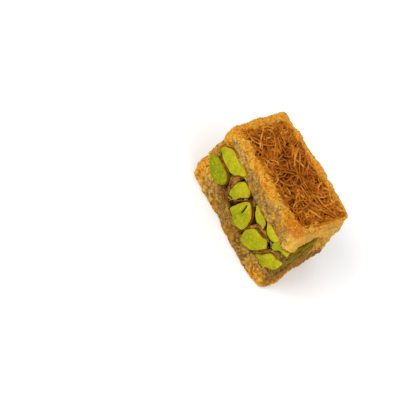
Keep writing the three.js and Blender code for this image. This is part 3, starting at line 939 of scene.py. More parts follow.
def skin_points(wall, width, path, shape, random):
    """The points of one scrap of skin: a flattened rod that follows a path on a wall, frayed along it."""
    line = smooth_curve(path, SKIN_RINGS, closed=False)
    ring = np.rint(shape[:, 2] * (SKIN_RINGS - 1)).astype(int)
    run = np.gradient(line, axis=0)
    run /= np.linalg.norm(run, axis=1)[:, None]
    across = np.stack([-run[:, 1], run[:, 0]], axis=1)
    taper = np.sin(np.pi * np.clip(shape[:, 2], 0.04, 0.96)) ** 0.45
    fray = 1 + SKIN_FRAY * random.uniform(-1, 1, SKIN_RINGS)[ring]
    flat = line[ring] + across[ring] * (shape[:, 0] * taper * fray * width / 2)[:, None]
    depth = SKIN_DEPTH + random.uniform(-0.15, 0.25, SKIN_RINGS)[ring]
    depth = depth - shape[:, 1] * taper * SKIN_HALF_THICKNESS
    return wall_point(wall, flat[:, 0], flat[:, 1], depth)


def strand_starts(count, bundle, random):
    """Where strands start on the mat, near the middles of their bundles."""
    starts = []
    for low, high in ((MAT["left"], MAT["right"]), (MAT["front"], MAT["back"])):
        middles = random.uniform(low + 0.6, high - 0.6, count // STRANDS_A_BUNDLE)
        near_middle = middles[bundle] + random.normal(0, BUNDLE_SPREAD, count)
        starts.append(np.clip(near_middle, low + 0.2, high - 0.2))
    return starts


def strand_lines(count, random):
    """Middle lines of the strands: each wanders over the mat, curls, and turns back at its border."""
    bundle = random.integers(0, count // STRANDS_A_BUNDLE, count)
    length = random.uniform(*STRAND_LENGTH, count)
    stray = MOST_STRAY * random.random(count) ** 2 + LEAST_STRAY
    x, y = strand_starts(count, bundle, random)
    heading = random.uniform(0, math.tau, count // STRANDS_A_BUNDLE)[bundle]
    heading = heading + random.normal(0, BUNDLE_TURN, count)
    curled = random.random(count) < CURLED_SHARE
    bend = np.where(curled, random.uniform(*STRAND_CURL, count), random.uniform(*STRAND_BEND, count))
    bend = bend * random.choice([-1, 1], count)
    step = length / (STRAND_RINGS - 1)
    level = mix(STRAND_LOWEST, STRAND_HIGHEST, random.random(count) ** 0.9)
    slope, phase = random.uniform(-STRAND_SLOPE, STRAND_SLOPE, count), random.uniform(0, math.tau, count)
    lines = []
    for ring in range(STRAND_RINGS):
        travelled = step * (ring - STRAND_RINGS / 2)
        hollow = ease(unevenness(x, y, MAT_HOLLOW["layer"], MAT_HOLLOW["size"]), 0.0, 0.7)
        hollow = MAT_HOLLOW["depth"] * hollow * ease(inside_mat(x, y), *MAT_HOLLOW["inside"])
        wave = STRAND_WAVE * np.sin(phase + travelled * STRAND_WAVE_TURN) - hollow
        height = np.clip(level + slope * travelled + wave, STRAND_LOWEST - 0.6, STRAND_HIGHEST + 0.3)
        ground = RIM_HEIGHT - MAT["depth"] * mat_share(x, y) + 0.1
        lines.append(np.stack([x, y, np.maximum(height, ground)], axis=1))
        heading = heading + (bend + random.normal(0, STRAND_JITTER, count)) * step
        beyond_x = x + step * np.cos(heading)
        turns_x = (beyond_x < MAT["left"] - stray) | (beyond_x > MAT["right"] + stray)
        heading = np.where(turns_x, np.pi - heading, heading)
        beyond_y = y + step * np.sin(heading)
        turns_y = (beyond_y < MAT["front"] - stray) | (beyond_y > MAT["back"] + stray)
        heading = np.where(turns_y, -heading, heading)
        x, y = x + step * np.cos(heading), y + step * np.sin(heading)
        beyond = np.maximum(-0.2 - inside_mat(x, y), 0)
        x, y = x - np.sign(x) * beyond, y - np.sign(y) * beyond
    return np.stack(lines, axis=1)


def strand_mesh(name, count, thickness, random):
    """The strands, each a thin round rod along its middle line, with how light each one is."""
    template = cut_rod(STRAND_SIDES, STRAND_RINGS, f"{name}_one")
    shape = points_of(template)
    ring = np.rint(shape[:, 2] * (STRAND_RINGS - 1)).astype(int)
    lines = strand_lines(count, random)
    run = np.gradient(lines, axis=1)
    run /= np.linalg.norm(run, axis=2)[:, :, None]
    across = np.cross(run, (0, 0, 1))
    across /= np.linalg.norm(across, axis=2)[:, :, None]
    upward = np.cross(across, run)
    radius = thickness / 2 * random.uniform(0.6, 1.15, count)[:, None, None]
    taper = np.where((ring == 0) | (ring == STRAND_RINGS - 1), 0.55, 1)[:, None]
    section = across[:, ring] * shape[:, 0, None] + upward[:, ring] * shape[:, 1, None]
    mesh = repeated(template, count, name)
    move_points(mesh, (lines[:, ring] + section * radius * taper).reshape(-1, 3))
    lift = ease(lines[:, ring, 2].ravel(), STRAND_LOWEST, STRAND_HIGHEST)
    keep_values(mesh, tone=random.random(count), lift=lift)
    return mesh


# Materials


def add_node(tree, kind, settings=None, **inputs):
    """A node with its settings and the values or links of its inputs, named with underscores for spaces."""
    made = tree.nodes.new(kind)
    for name, value in (settings or {}).items():
        setattr(made, name, value)
    for name, value in inputs.items():
        socket = made.inputs[int(name[1:])] if name[0] == "_" else made.inputs[name.replace("_", " ")]
        if isinstance(value, bpy.types.NodeSocket):
            tree.links.new(value, socket)
        else:
            socket.default_value = value
    return made


def calculate(tree, operation, *values):
    """The result of one sum on one to three values."""
    return add_node(tree, "ShaderNodeMath", {"operation": operation},
                    **{f"_{index}": value for index, value in enumerate(values)}).outputs[0]


def spread(tree, value, low, high, start=0.0, end=1.0):
    """A value from low to high spread over start to end."""
    made = add_node(tree, "ShaderNodeMapRange", {}, _0=value, _1=low, _2=high, _3=start, _4=end)
    return made.outputs[0]


def blend(tree, share, first, second):
    """The blend of two colours by a share."""
    made = add_node(tree, "ShaderNodeMix", {"data_type": "RGBA"})
    for index, value in ((0, share), (6, first), (7, second)):
        if isinstance(value, bpy.types.NodeSocket):
            tree.links.new(value, made.inputs[index])
        else:
            made.inputs[index].default_value = value if index == 0 else (*value[:3], 1)
    return made.outputs[2]


def weigh(tree, first, first_share, second, second_share):
    """The sum of two numbers, each times its own share."""
    weighed = calculate(tree, "MULTIPLY", second, second_share)
    return calculate(tree, "MULTIPLY_ADD", first, first_share, weighed)


def read_value(tree, name):
    """A number that the piece's points keep."""
    return add_node(tree, "ShaderNodeAttribute", {"attribute_name": name}).outputs["Fac"]


def new_group(name, inputs, outputs):
    """An empty node group with named number sockets, and its two ends."""
    group = bpy.data.node_groups.new(name, "ShaderNodeTree")
    for title, default in inputs.items():
        socket = group.interface.new_socket(title, in_out="INPUT", socket_type="NodeSocketFloat")
        socket.default_value = default
    for title in outputs:
        group.interface.new_socket(title, in_out="OUTPUT", socket_type="NodeSocketFloat")
    return group, group.nodes.new("NodeGroupInput"), group.nodes.new("NodeGroupOutput")


def grain_group():
    """Grains of crumb, Size across: each has its own tone and stands out from the cracks round it."""
    group, entry, exit_ = new_group("crumb_grain", {"Size": 0.0006}, ("Tone", "Height"))
    place = add_node(group, "ShaderNodeTexCoord").outputs["Object"]
    scale = calculate(group, "DIVIDE", 1.0, entry.outputs["Size"])
    warp = add_node(group, "ShaderNodeTexNoise", {}, Vector=place, Scale=900.0, Detail=2.0)
    drift = add_node(group, "ShaderNodeVectorMath", {"operation": "MULTIPLY_ADD"},
                     _0=warp.outputs["Color"], _1=(0.0005,) * 3, _2=place)
    cells = add_node(group, "ShaderNodeTexVoronoi", {}, Vector=drift.outputs[0], Scale=scale)
    finer = calculate(group, "MULTIPLY", scale, 2.2)
    fine = add_node(group, "ShaderNodeTexNoise", {}, Vector=place, Scale=finer, Detail=4.0, Roughness=0.7)
    dome = spread(group, cells.outputs["Distance"], 0.0, 0.75, 1.0, 0.0)
    own = add_node(group, "ShaderNodeSeparateColor", {}, Color=cells.outputs["Color"]).outputs[0]
    fleck = spread(group, fine.outputs[0], 0.3, 0.7)
    group.links.new(weigh(group, own, 0.45, fleck, 0.55), exit_.inputs["Tone"])
    group.links.new(calculate(group, "MULTIPLY_ADD", fleck, 0.5, dome), exit_.inputs["Height"])
    return group


def mottle_group():
    """Soft uneven patches about Size across, with Detail of finer ones inside."""
    group, entry, exit_ = new_group("mottle", {"Size": 0.002, "Detail": 3.0}, ("Patches",))
    place = add_node(group, "ShaderNodeTexCoord").outputs["Object"]
    scale = calculate(group, "DIVIDE", 1.0, entry.outputs["Size"])
    made = add_node(group, "ShaderNodeTexNoise", {}, Vector=place, Scale=scale,
                    Detail=entry.outputs["Detail"], Roughness=0.6)
    group.links.new(spread(group, made.outputs[0], 0.3, 0.7), exit_.inputs["Patches"])
    return group


def use_group(tree, name, **inputs):
    """A node group placed in a material with its own values."""
    make = {"crumb_grain": grain_group, "mottle": mottle_group}[name]
    group = bpy.data.node_groups.get(name) or make()
    return add_node(tree, "ShaderNodeGroup", {"node_tree": group}, **inputs)


def mottle(tree, size, detail):
    """Soft uneven patches in a material."""
    return use_group(tree, "mottle", Size=size, Detail=detail).outputs[0]


def new_material(name):
    """A material with a Principled shader, and its tree."""
    material = bpy.data.materials.new(name)
    material.use_nodes = True
    tree = material.node_tree
    tree.nodes.clear()
    shader = add_node(tree, "ShaderNodeBsdfPrincipled")
    add_node(tree, "ShaderNodeOutputMaterial", {}, Surface=shader.outputs[0])
    return material, tree, shader


def finish_surface(tree, shader, colour, roughness, specular):
    """Gives a shader its colour and roughness, and how strongly it mirrors."""
    tree.links.new(colour, shader.inputs["Base Color"])
    tree.links.new(roughness, shader.inputs["Roughness"])
    shader.inputs["Specular IOR Level"].default_value = specular


def add_bump(tree, shader, height, distance, strength):
    """Fine relief that the mesh is too coarse for."""
    bump = add_node(tree, "ShaderNodeBump", {}, Height=height, Distance=distance, Strength=strength)
    tree.links.new(bump.outputs[0], shader.inputs["Normal"])


def soften(shader, weight, reach, depth):
    """Lets light into the surface, reach as the shares of red, green and blue that travel depth."""
    shader.inputs["Subsurface Weight"].default_value = weight
    shader.inputs["Subsurface Radius"].default_value = reach
    shader.inputs["Subsurface Scale"].default_value = depth


def crumb_material(name, settings, contrast, deep=None, glaze=None):
    """Baked crumb: tan next to the filling, golden to orange at the edges, painted dark in its cracks as
    painted shade and light on raised grains as a painted highlight. It is also dark where it is deep: under
    the strands as painted shade, and between the kernels as paste with painted shade in the gaps, with a
    glaze on the way there. The contrast is that of its flakes."""
    material, tree, shader = new_material(name)
    grains = use_group(tree, "crumb_grain", Size=settings.grain_size)
    patches = mottle(tree, 0.0035, 3.0)
    spots = mottle(tree, 0.0014, 3.0)
    uneven = calculate(tree, "MULTIPLY", calculate(tree, "SUBTRACT", patches, 0.5), 0.8)
    toast = calculate(tree, "ADD", uneven, read_value(tree, "toast"))
    inner = blend(tree, spots, settings.inner_dark, settings.inner_light)
    baked = blend(tree, spread(tree, toast, 0.0, 0.65), inner, settings.golden)
    baked = blend(tree, spread(tree, toast, 0.5, 1.1), baked, settings.orange)
    coarse = use_group(tree, "crumb_grain", Size=settings.lump_size).outputs["Tone"]
    tone = weigh(tree, coarse, 0.4, grains.outputs["Tone"], 0.6)
    # How light the crumb is painted: high on raised relief and on pale grains, low in its cracks
    light = weigh(tree, read_value(tree, "relief"), 0.45, tone, 0.55)
    light = calculate(tree, "ADD", light, spread(tree, spots, 0.0, 1.0, -contrast, contrast))
    pallor = read_value(tree, "pallor")
    light = calculate(tree, "MULTIPLY_ADD", calculate(tree, "MAXIMUM", pallor, 0.0), 0.22, light)
    # Painted shade in the cracks, where the relief is low; grains of darker tone take it too
    shaded = blend(tree, spread(tree, light, 0.2, 0.48, 0.9, 0.0), baked, settings.crack_shade)
    # Painted highlight on raised grains; pale grains and pale places of the crumb take the same colour
    colour = blend(tree, spread(tree, light, 0.46, 0.72, 0.0, 0.75), shaded, settings.pale_grain_and_highlight)
    # Where pallor is below 0 the crumb turns browner; on the base's right end and in a hollow of its front
    # this is painted shade
    colour = blend(tree, spread(tree, pallor, -1.0, 0.0, 0.6, 0.0), colour, settings.brown)
    # How deep a point lies: under the strands and in the filling's gaps it is painted dark as painted shade;
    # on the rim it is how much glaze it has
    hidden = read_value(tree, "deep")
    if glaze:
        colour = blend(tree, spread(tree, hidden, 0.0, 0.5, 0.0, 0.8), colour, glaze)
    if deep:
        colour = blend(tree, spread(tree, hidden, 0.45 if glaze else 0.0, 1.0), colour, deep)
    finish_surface(tree, shader, colour, spread(tree, light, 0.2, 0.8, 0.72, 0.5), 0.08)
    add_bump(tree, shader, grains.outputs["Height"], 0.00022, 0.9)
    soften(shader, 0.12, (1.0, 0.5, 0.2), 0.0012)
    return material


def strand_material(settings):
    """Fried pastry strands: red brown deep in the mat as painted shade, copper on top, a few golden ones."""
    material, tree, shader = new_material("browned_strands")
    patches = mottle(tree, 0.0018, 3.0)
    tone, lift = read_value(tree, "tone"), read_value(tree, "lift")
    mixed = weigh(tree, patches, 0.4, tone, 0.6)
    brown = blend(tree, spread(tree, mixed, 0.15, 0.7), settings.dark, settings.copper)
    golden = blend(tree, spread(tree, mixed, 0.62, 0.95), brown, settings.golden)
    # Strands lower in the mat are painted darker, as painted shade under the strands above
    deep = blend(tree, spread(tree, lift, 0.25, 1.0, 0.95, 0.0), golden, settings.deep)
    finish_surface(tree, shader, deep, spread(tree, patches, 0.0, 1.0, 0.34, 0.55), 0.07)
    add_bump(tree, shader, patches, 0.00008, 0.6)
    soften(shader, 0.1, (1.0, 0.4, 0.1), 0.0006)
    return material


def kernel_material(settings):
    """Cut pistachio: yellow to green flesh, browner at the edge of the cut, painted dark in a slit and
    painted browner on the right end, both as painted shade.
    """
    material, tree, shader = new_material("cut_pistachio")
    broad = mottle(tree, 0.0042, 2.0)
    fine = mottle(tree, 0.0009, 4.0)
    rim = read_value(tree, "rim")
    green = weigh(tree, broad, 0.45, read_value(tree, "tone"), 0.75)
    flesh = blend(tree, spread(tree, green, 0.15, 0.95), settings.yellow, settings.green)
    flesh = blend(tree, spread(tree, fine, 0.5, 1.0, 0.0, 0.5), flesh, settings.pale)
    flesh = blend(tree, spread(tree, fine, 0.0, 0.4, 0.35, 0.0), flesh, settings.green)
    ring = calculate(tree, "MULTIPLY", spread(tree, rim, 0.72, 0.98), spread(tree, broad, 0.1, 0.9, 0.1, 0.8))
    edged = blend(tree, ring, flesh, settings.edge)
    # Painted shade on the kernels of the right end
    right_end_shaded = blend(tree, read_value(tree, "dull"), edged, settings.right_end_shade)
    body = blend(tree, spread(tree, rim, 0.985, 1.0), right_end_shaded, settings.body)
    # Painted shade inside the slit
    slit = blend(tree, spread(tree, read_value(tree, "slit"), 0.2, 0.7), body, settings.slit)
    finish_surface(tree, shader, slit, spread(tree, fine, 0.0, 1.0, 0.38, 0.55), 0.01)
    add_bump(tree, shader, fine, 0.0003, 0.8)
    soften(shader, 0.2, (0.7, 1.0, 0.15), 0.0012)
    return material


def skin_material(settings):
    """Brown papery skin, mottled, redder on some scraps."""
    material, tree, shader = new_material("kernel_skin")
    patches = mottle(tree, 0.0018, 5.0)
    grains = use_group(tree, "crumb_grain", Size=0.0009)
    mixed = weigh(tree, patches, 0.6, grains.outputs["Tone"], 0.4)
    brown = blend(tree, spread(tree, mixed, 0.25, 0.75), settings.skin_dark, settings.skin_light)
    red = calculate(tree, "MULTIPLY", read_value(tree, "red"), spread(tree, patches, 0.0, 0.6, 0.4, 0.9))
    colour = blend(tree, red, brown, settings.skin_red)
    finish_surface(tree, shader, colour, spread(tree, patches, 0.0, 1.0, 0.45, 0.7), 0.03)
    add_bump(tree, shader, grains.outputs["Height"], 0.0002, 0.9)
    return material


def floor_material(settings):
    """Plain pale floor with a faint grain."""
    material, tree, shader = new_material("pale_floor")
    patches = mottle(tree, 0.05, 2.0)
    soft = tuple(value * 0.985 for value in settings.floor)
    tree.links.new(blend(tree, patches, soft, settings.floor), shader.inputs["Base Color"])
    shader.inputs["Roughness"].default_value = 0.9
    shader.inputs["Specular IOR Level"].default_value = 0.2
    return material


# Settings


def colour_property(name, description, default):
    """A colour that a user may change."""
    return FloatVectorProperty(name=name, description=description, default=default, subtype="COLOR", size=3,
                               min=0, max=1)


class CrumbSettings(bpy.types.PropertyGroup):
    """Sizes and colours of the crumb."""

    lump_size: FloatProperty(name="Lump size", description="Width of the crumb's lumps", default=0.0012,
                             min=0.0003, unit="LENGTH")
    lump_height: FloatProperty(name="Lump height", description="Height of the lumps near the edges",
                               default=0.0007, min=0, unit="LENGTH")
    grain_size: FloatProperty(name="Grain size", description="Width of the finest grains", default=0.00045,
                              min=0.0001, unit="LENGTH")
    crumbs: IntProperty(name="Loose crumbs", description="Crumbs that stick to each layer", default=3200,
                        min=10)
    inner_light: colour_property("Inner light", "Lighter crumb next to the filling", paint(190, 146, 78))
    inner_dark: colour_property("Inner dark", "Darker crumb next to the filling", paint(146, 102, 40))
    golden: colour_property("Golden", "Crumb between the filling and the edges", paint(228, 160, 34))
    orange: colour_property("Orange", "Most browned crumb, at the edges", paint(236, 146, 14))
    glaze: colour_property("Glaze", "Crumb next to the strands, soaked with syrup", paint(216, 116, 4))
    # Painted shade in the cracks between the grains
    brown: colour_property("Brown", "What the darkest crumb turns to", paint(108, 64, 8))
    # Also the painted shade on the base's right end and in a hollow of its front
    crack_shade: colour_property("Cracks", "Crumb deep between the grains", paint(126, 70, 6))
    # Painted highlight on raised grains, and the own colour of pale grains
    pale_grain_and_highlight: colour_property("Grain tops", "Grains that stand out", paint(252, 208, 96))
    # Painted shade of the crumb deep under the strands
    bed: colour_property("Bed", "Crumb under the strands", paint(136, 60, 0))
    # Dark paste, painted darker still in the gaps between the kernels as painted shade
    paste: colour_property("Paste", "Dark paste in the gaps between the kernels", paint(50, 27, 8))


class StrandSettings(bpy.types.PropertyGroup):
    """Sizes and colours of the strand mat."""

    count: IntProperty(name="Strands", description="How many strands make the mat", default=540, min=10)
    thickness: FloatProperty(name="Thickness", description="Thickness of a strand", default=0.00066,
                             min=0.0001, unit="LENGTH")
    dark: colour_property("Dark", "Darkest strands", paint(154, 76, 0))
    copper: colour_property("Copper", "Most strands", paint(197, 118, 27))
    golden: colour_property("Golden", "Lightest strands", paint(232, 162, 64))
    # Painted shade of the strands low in the mat, under the others
    deep: colour_property("Deep", "Strands low in the mat", paint(112, 46, 0))


class FillingSettings(bpy.types.PropertyGroup):
    """Colours of the filling."""

    crumbs: IntProperty(name="Crumbs", description="Crumbs between the kernels", default=900, min=10)
    yellow: colour_property("Yellow", "Yellow kernels", paint(208, 194, 34))
    green: colour_property("Green", "Green kernels", paint(128, 140, 14))
    pale: colour_property("Pale", "Pale flecks in the flesh", paint(222, 212, 36))
    edge: colour_property("Edge", "Edge of a cut kernel", paint(200, 136, 16))
    # Painted shade on the kernels of the right end, browner and duller
    right_end_shade: colour_property("Smear", "Kernels smeared over with paste", paint(110, 78, 8))
    body: colour_property("Body", "Kernel behind the cut", paint(120, 92, 34))
    # Painted shade inside a slit
    slit: colour_property("Slit", "Inside of a slit", paint(60, 50, 8))
    skin_light: colour_property("Skin light", "Lighter skin", paint(192, 138, 58))
    skin_dark: colour_property("Skin dark", "Darker skin", paint(88, 50, 12))
    skin_red: colour_property("Skin red", "Redder skin", paint(150, 66, 8))


class StageSettings(bpy.types.PropertyGroup):
    """Light and floor."""

    key: FloatProperty(name="Key light", description="Strength of the large soft light", default=4.2, min=0,
                       unit="POWER")
    fill: FloatProperty(name="Fill light", description="Strength of the light on the right end",
                        default=2.8, min=0, unit="POWER")
    surround: FloatProperty(name="Surround", description="Strength of the light from all round", default=0.8,
                            min=0)
    floor: colour_property("Floor", "Plain floor", (0.93, 0.93, 0.93))


# Operators


class BALLORIEH_OT_base_crumb(bpy.types.Operator):
    """Make the crumb base with its loose crumbs"""

    bl_idname = "ballorieh.base_crumb"
    bl_label = "Crumb base"

    def execute(self, context):
        settings = context.scene.ballorieh_crumb
        random = np.random.default_rng(SEED)
        mesh = cut_cube(CRUMB_CUTS, "crumb_base")

        def floor(x, y):
            return np.full_like(x, -BASE_SUNK)

        def inset(x, y, z):
            edge = BASE_EDGE_RADIUS + UPRIGHT_EDGE * near(UPRIGHT_SPOT, x, y)
            return edge_inset(z + BASE_SUNK, edge) - crag(x, y, z)

        def ceiling(x, y):
            return crust_top(x, y) + BASE_HUG * (1 + 0.6 * unevenness(x, y, 0, HUG_SIZE))

        places = shape_layer(points_of(mesh), floor, ceiling, inset, lambda share: share**ROW_CROWDING)
        places[:, 2] = np.maximum(places[:, 2], 0)
        move_points(mesh, places)
        toast = toast_at(places, BASE_TOAST)
        places = roughen_crumb(mesh, settings, BASE_TOAST, 1.2, 1.6)
        places[:, 2] = np.maximum(places[:, 2], 0)
        move_points(mesh, places)
        pallor = base_pallor(places)
        keep_values(mesh, toast=toast, pallor=pallor)
        material = crumb_material("crumb_base", settings, contrast=0.16)
        normals = normals_of(mesh)
        chance = (0.3 + toast) * (places[:, 2] > 0.5) * (np.abs(normals[:, 2]) < 0.9)
        spots, outward, picked = scatter(mesh, chance, settings.crumbs, random)
        radii = grain_radii(*BASE_GRAINS, len(spots), random)
        crumbs = loose_crumbs("crumb_base_grains", spots, outward, radii, GRAINS_SUNK, random)
        places = points_of(crumbs)
        places[:, 2] = np.maximum(places[:, 2], LOWEST_GRAIN)
        move_points(crumbs, places)
        relief = random.uniform(*GRAIN_RELIEF, len(spots))
        keep_values(crumbs, toast=toast[picked], pallor=pallor[picked], relief=relief)
        for piece in (mesh, crumbs):
            finish_piece(piece, material, "bottom_crust")
        return {"FINISHED"}


class BALLORIEH_OT_top_crumb(bpy.types.Operator):
    """Make the crumb top with its rim, sunken bed and loose crumbs"""

    bl_idname = "ballorieh.top_crumb"
    bl_label = "Crumb top"

    def execute(self, context):
        settings = context.scene.ballorieh_crumb
        random = np.random.default_rng(SEED + 1)
        mesh = cut_cube(CRUMB_CUTS, "crumb_top")

        def inset(x, y, z):
            return edge_inset(RIM_HEIGHT - z, TOP_EDGE_RADIUS) - crag(x, y, z)

        def floor(x, y):
            return crumb_under(x, y) - TOP_HUG * (1 + 0.8 * unevenness(x, y, 20, HUG_SIZE))

        def rows(share):
            return 1 - (1 - share) ** ROW_CROWDING

        places = shape_layer(points_of(mesh), floor, top_height, inset, rows)
        move_points(mesh, places)
        plan = places[:, 0], places[:, 1]
        toast, pallor = toast_at(places, TOP_TOAST), top_pallor(places)
        # The sunken bed under the strands is painted dark as painted shade; the glaze is the syrup's own
        # colour
        bed = mat_share(*plan) * (1 - 0.5 * lump_share(*plan)) * ease(places[:, 2], *BED_FROM)
        deep = np.maximum(bed, glaze_share(*plan) * ease(places[:, 2], *GLAZE_FROM))
        move_points(mesh, roughen_crumb(mesh, settings, TOP_TOAST, 0.6, 1.2))
        keep_values(mesh, toast=toast, deep=deep, pallor=pallor)
        material = crumb_material("crumb_top", settings, 0.04, settings.bed, settings.glaze)
        places = points_of(mesh)
        open_rim = (1 - bed) * (places[:, 2] > crumb_under(places[:, 0], places[:, 1]) + 0.5)
        spots, outward, picked = scatter(mesh, (0.15 + toast) * open_rim, settings.crumbs, random)
        radii = grain_radii(*TOP_GRAINS, len(spots), random) * mix(0.8, 1.15, toast[picked])
        clusters = [top_cluster(*cluster, random) for cluster in TOP_CLUSTERS]
        spots, outward, extra = with_clusters(spots, outward, clusters, (0, 0, 1))
        radii = np.append(radii, PALE_TOP_GRAIN * extra)
        crumbs = loose_crumbs("crumb_top_grains", spots, outward, radii, GRAINS_SUNK, random)
        keep_values(
            crumbs,
            toast=np.append(toast[picked], 0.3 * extra),
            pallor=np.append(pallor[picked], 1.5 * extra),
            relief=np.append(random.uniform(*GRAIN_RELIEF, len(picked)), extra),
        )
        for piece in (mesh, crumbs):
            finish_piece(piece, material, "top_crust")
        return {"FINISHED"}


class BALLORIEH_OT_strand_mat(bpy.types.Operator):
    """Make the mat of fried strands on the top"""

    bl_idname = "ballorieh.strand_mat"
    bl_label = "Strand mat"

    def execute(self, context):
        settings = context.scene.ballorieh_strands
        random = np.random.default_rng(SEED + 2)
        mesh = strand_mesh("strand_mat", settings.count, settings.thickness / MILLIMETRE, random)
        finish_piece(mesh, strand_material(settings), "top_crust")
        return {"FINISHED"}


class BALLORIEH_OT_filling_bed(bpy.types.Operator):
    """Make the dark bed of paste and crumbs that the kernels sit in, painted darker in its gaps as painted
    shade
    """

    bl_idname = "ballorieh.filling_bed"
    bl_label = "Filling bed"

    def execute(self, context):
        settings = context.scene.ballorieh_crumb
        random = np.random.default_rng(SEED + 3)
        mesh = cut_cube(BED_CUTS, "filling_bed")

        def inset(x, y, z):
            recess = BED_RECESS * (1 - 0.7 * near_edge(x, y))
            gaps = (gap_share(x, y, z) * GAP_DEPTH + recess) * mix(1, 0.6, ease(y, *FRONT_BAND))
            return gaps + pit_share(x, y, z) * PIT_DEPTH - np.minimum(crag(x, y, z), BED_CRAG)

        places = shape_layer(points_of(mesh), lambda x, y: crust_top(x, y) - TOP_HUG,
                             lambda x, y: crumb_under(x, y) + TOP_HUG, inset, lambda share: share,
                             BED_CORNER_RADIUS)
        move_points(mesh, places)
        gaps = np.maximum(gap_share(*places.T), pit_share(*places.T))
        move_points(mesh, roughen(mesh, BED_LUMP, BED_GRAIN, lambda p: BED_ROUGH))
        ends = fades(BED_ENDS, places[:, 0], places[:, 1])
        # The bed is dark paste, painted darker in its gaps and pits as painted shade
        keep_values(mesh, deep=(0.6 + 0.4 * gaps) * (1 - 0.8 * ends), toast=0.2 + 0.5 * ends)
        material = crumb_material("filling_paste", settings, 0.06, settings.paste)
        side = (np.abs(normals_of(mesh)[:, 2]) < 0.7) * (1.2 - gaps)
        spots, outward, picked = scatter(mesh, side, context.scene.ballorieh_filling.crumbs, random)
        clusters = [pale_cluster(*cluster, random) for cluster in PALE_CLUSTERS]
        spots, outward, extra = with_clusters(spots, outward, clusters, (0, -1, 0))
        bright = np.arange(len(spots)) >= len(picked)
        radii = np.where(bright, PALE_FRONT_GRAIN, random.uniform(*FILLING_GRAINS, len(spots)))
        crumbs = loose_crumbs("filling_crumbs", spots, outward, radii, FILLING_GRAINS_SUNK, random)
        dark = random.uniform(0, 0.9, len(spots)) ** 0.6 * np.append(1 - 0.9 * ends[picked], 0 * extra)
        relief = np.where(bright, 1, random.uniform(0.3, 0.9, len(spots)))
        keep_values(crumbs, deep=dark, relief=relief, toast=random.uniform(0, 0.5, len(spots)))
        for piece in (mesh, crumbs):
            finish_piece(piece, material, "pistachio_filling")
        return {"FINISHED"}


class BALLORIEH_OT_kernels(bpy.types.Operator):
    """Make the cut pistachio kernels of the four sides and the scraps of skin between them"""

    bl_idname = "ballorieh.kernels"
    bl_label = "Kernels and skins"

    def execute(self, context):
        settings = context.scene.ballorieh_filling
        random = np.random.default_rng(SEED + 4)
        kernels = all_kernels(random)
        mesh = kernel_mesh("kernels", kernels, random)
        finish_piece(mesh, kernel_material(settings), "pistachio_filling")
        skinned = [{"wall": "front", "slit": None, **kernel} for kernel in SKINNED_KERNELS]
        brown = skin_material(settings)
        mesh = kernel_mesh("skinned_kernels", skinned, random)
        finish_piece(mesh, brown, "pistachio_filling")
        scraps = [("front", *skin) for skin in FRONT_SKINS] + side_skins(kernels, random)
        template = cut_rod(SKIN_SIDES, SKIN_RINGS, "skin_one")
        shape = points_of(template)
        mesh = repeated(template, len(scraps), "kernel_skins")
        made = [skin_points(wall, width, path, shape, random) for wall, width, _, path in scraps]
        move_points(mesh, np.concatenate(made))
        keep_values(mesh, red=[red for _, _, red, _ in scraps])
        finish_piece(mesh, brown, "pistachio_filling")
        return {"FINISHED"}


class BALLORIEH_OT_stage(bpy.types.Operator):
    """Make the floor, the lights and the camera"""

    bl_idname = "ballorieh.stage"
    bl_label = "Stage"

    def execute(self, context):
        settings = context.scene.ballorieh_stage
        bm = bmesh.new()
        bmesh.ops.create_grid(bm, x_segments=8, y_segments=8, size=FLOOR_REACH)
        floor = bpy.data.objects.new("floor", mesh_from(bm, "floor"))
        floor.data.materials.append(floor_material(settings))
        context.scene.collection.objects.link(floor)
        aim = Vector(PLAN_SHIFT + CAMERA["aim"]) * MILLIMETRE
        add_light("key", settings.key, aim, **KEY_LIGHT)
        add_light("fill", settings.fill, aim, **FILL_LIGHT)
        world = bpy.data.worlds.new("surround")
        context.scene.world = world
        world.use_nodes = True
        world.node_tree.nodes["Background"].inputs["Color"].default_value = (1, 1, 1, 1)
        world.node_tree.nodes["Background"].inputs["Strength"].default_value = settings.surround
        context.scene.view_settings.view_transform = "Standard"
        add_camera(aim)
        return {"FINISHED"}


def add_light(name, power, aim, size, offset):
    """A large square light that faces aim."""
    light = bpy.data.lights.new(name, "AREA")
    light.energy, light.size = power, size
    lamp = bpy.data.objects.new(name, light)
    lamp.location = aim + Vector(offset)
    lamp.rotation_euler = Vector(offset).to_track_quat("Z", "Y").to_euler()
    bpy.context.scene.collection.objects.link(lamp)


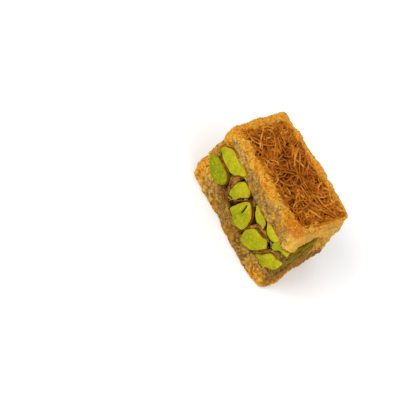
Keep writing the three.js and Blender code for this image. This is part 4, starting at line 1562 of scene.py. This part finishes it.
def add_camera(aim):
    """The camera at the picture's angle, rolled about its view, which passes beside aim."""
    azimuth, elevation, roll = (math.radians(CAMERA[turn]) for turn in ("azimuth", "elevation", "roll"))
    back = Vector((math.sin(azimuth) * math.cos(elevation), -math.cos(azimuth) * math.cos(elevation),
                   math.sin(elevation)))
    level = Vector((math.cos(azimuth), math.sin(azimuth), 0))
    upright = back.cross(level)
    right = level * math.cos(roll) + upright * math.sin(roll)
    up = upright * math.cos(roll) - level * math.sin(roll)
    lens = bpy.data.cameras.new("camera")
    lens.lens, lens.sensor_width = CAMERA["lens"], CAMERA["sensor"]
    lens.clip_start, lens.clip_end = 0.01, 20
    camera = bpy.data.objects.new("camera", lens)
    offset = back * CAMERA["distance"] - right * CAMERA["right"] - up * CAMERA["up"]
    turn = Matrix((right, up, back)).transposed().to_4x4()
    camera.matrix_world = Matrix.Translation(aim + offset * MILLIMETRE) @ turn
    bpy.context.scene.collection.objects.link(camera)
    bpy.context.scene.camera = camera


class BALLORIEH_PT_panel(bpy.types.Panel):
    """Lists the settings and the pieces"""

    bl_label = "Ballorieh"
    bl_idname = "BALLORIEH_PT_panel"
    bl_space_type = "VIEW_3D"
    bl_region_type = "UI"
    bl_category = "Ballorieh"

    def draw(self, context):
        for group in SETTINGS:
            box = self.layout.box()
            for name in SETTINGS[group].__annotations__:
                box.prop(getattr(context.scene, group), name)
        for operator in OPERATORS:
            self.layout.operator(operator.bl_idname)


SETTINGS = {
    "ballorieh_crumb": CrumbSettings,
    "ballorieh_strands": StrandSettings,
    "ballorieh_filling": FillingSettings,
    "ballorieh_stage": StageSettings,
}
OPERATORS = (
    BALLORIEH_OT_base_crumb,
    BALLORIEH_OT_top_crumb,
    BALLORIEH_OT_strand_mat,
    BALLORIEH_OT_filling_bed,
    BALLORIEH_OT_kernels,
    BALLORIEH_OT_stage,
)
CLASSES = (*SETTINGS.values(), *OPERATORS, BALLORIEH_PT_panel)


def register():
    for kind in CLASSES:
        bpy.utils.register_class(kind)
    for name, kind in SETTINGS.items():
        setattr(bpy.types.Scene, name, PointerProperty(type=kind))


def unregister():
    for name in SETTINGS:
        delattr(bpy.types.Scene, name)
    for kind in reversed(CLASSES):
        bpy.utils.unregister_class(kind)


def main():
    """Makes every piece in order."""
    register()
    bpy.ops.ballorieh.base_crumb()
    bpy.ops.ballorieh.top_crumb()
    bpy.ops.ballorieh.strand_mat()
    bpy.ops.ballorieh.filling_bed()
    bpy.ops.ballorieh.kernels()
    bpy.ops.ballorieh.stage()


if __name__ == "__main__":
    main()
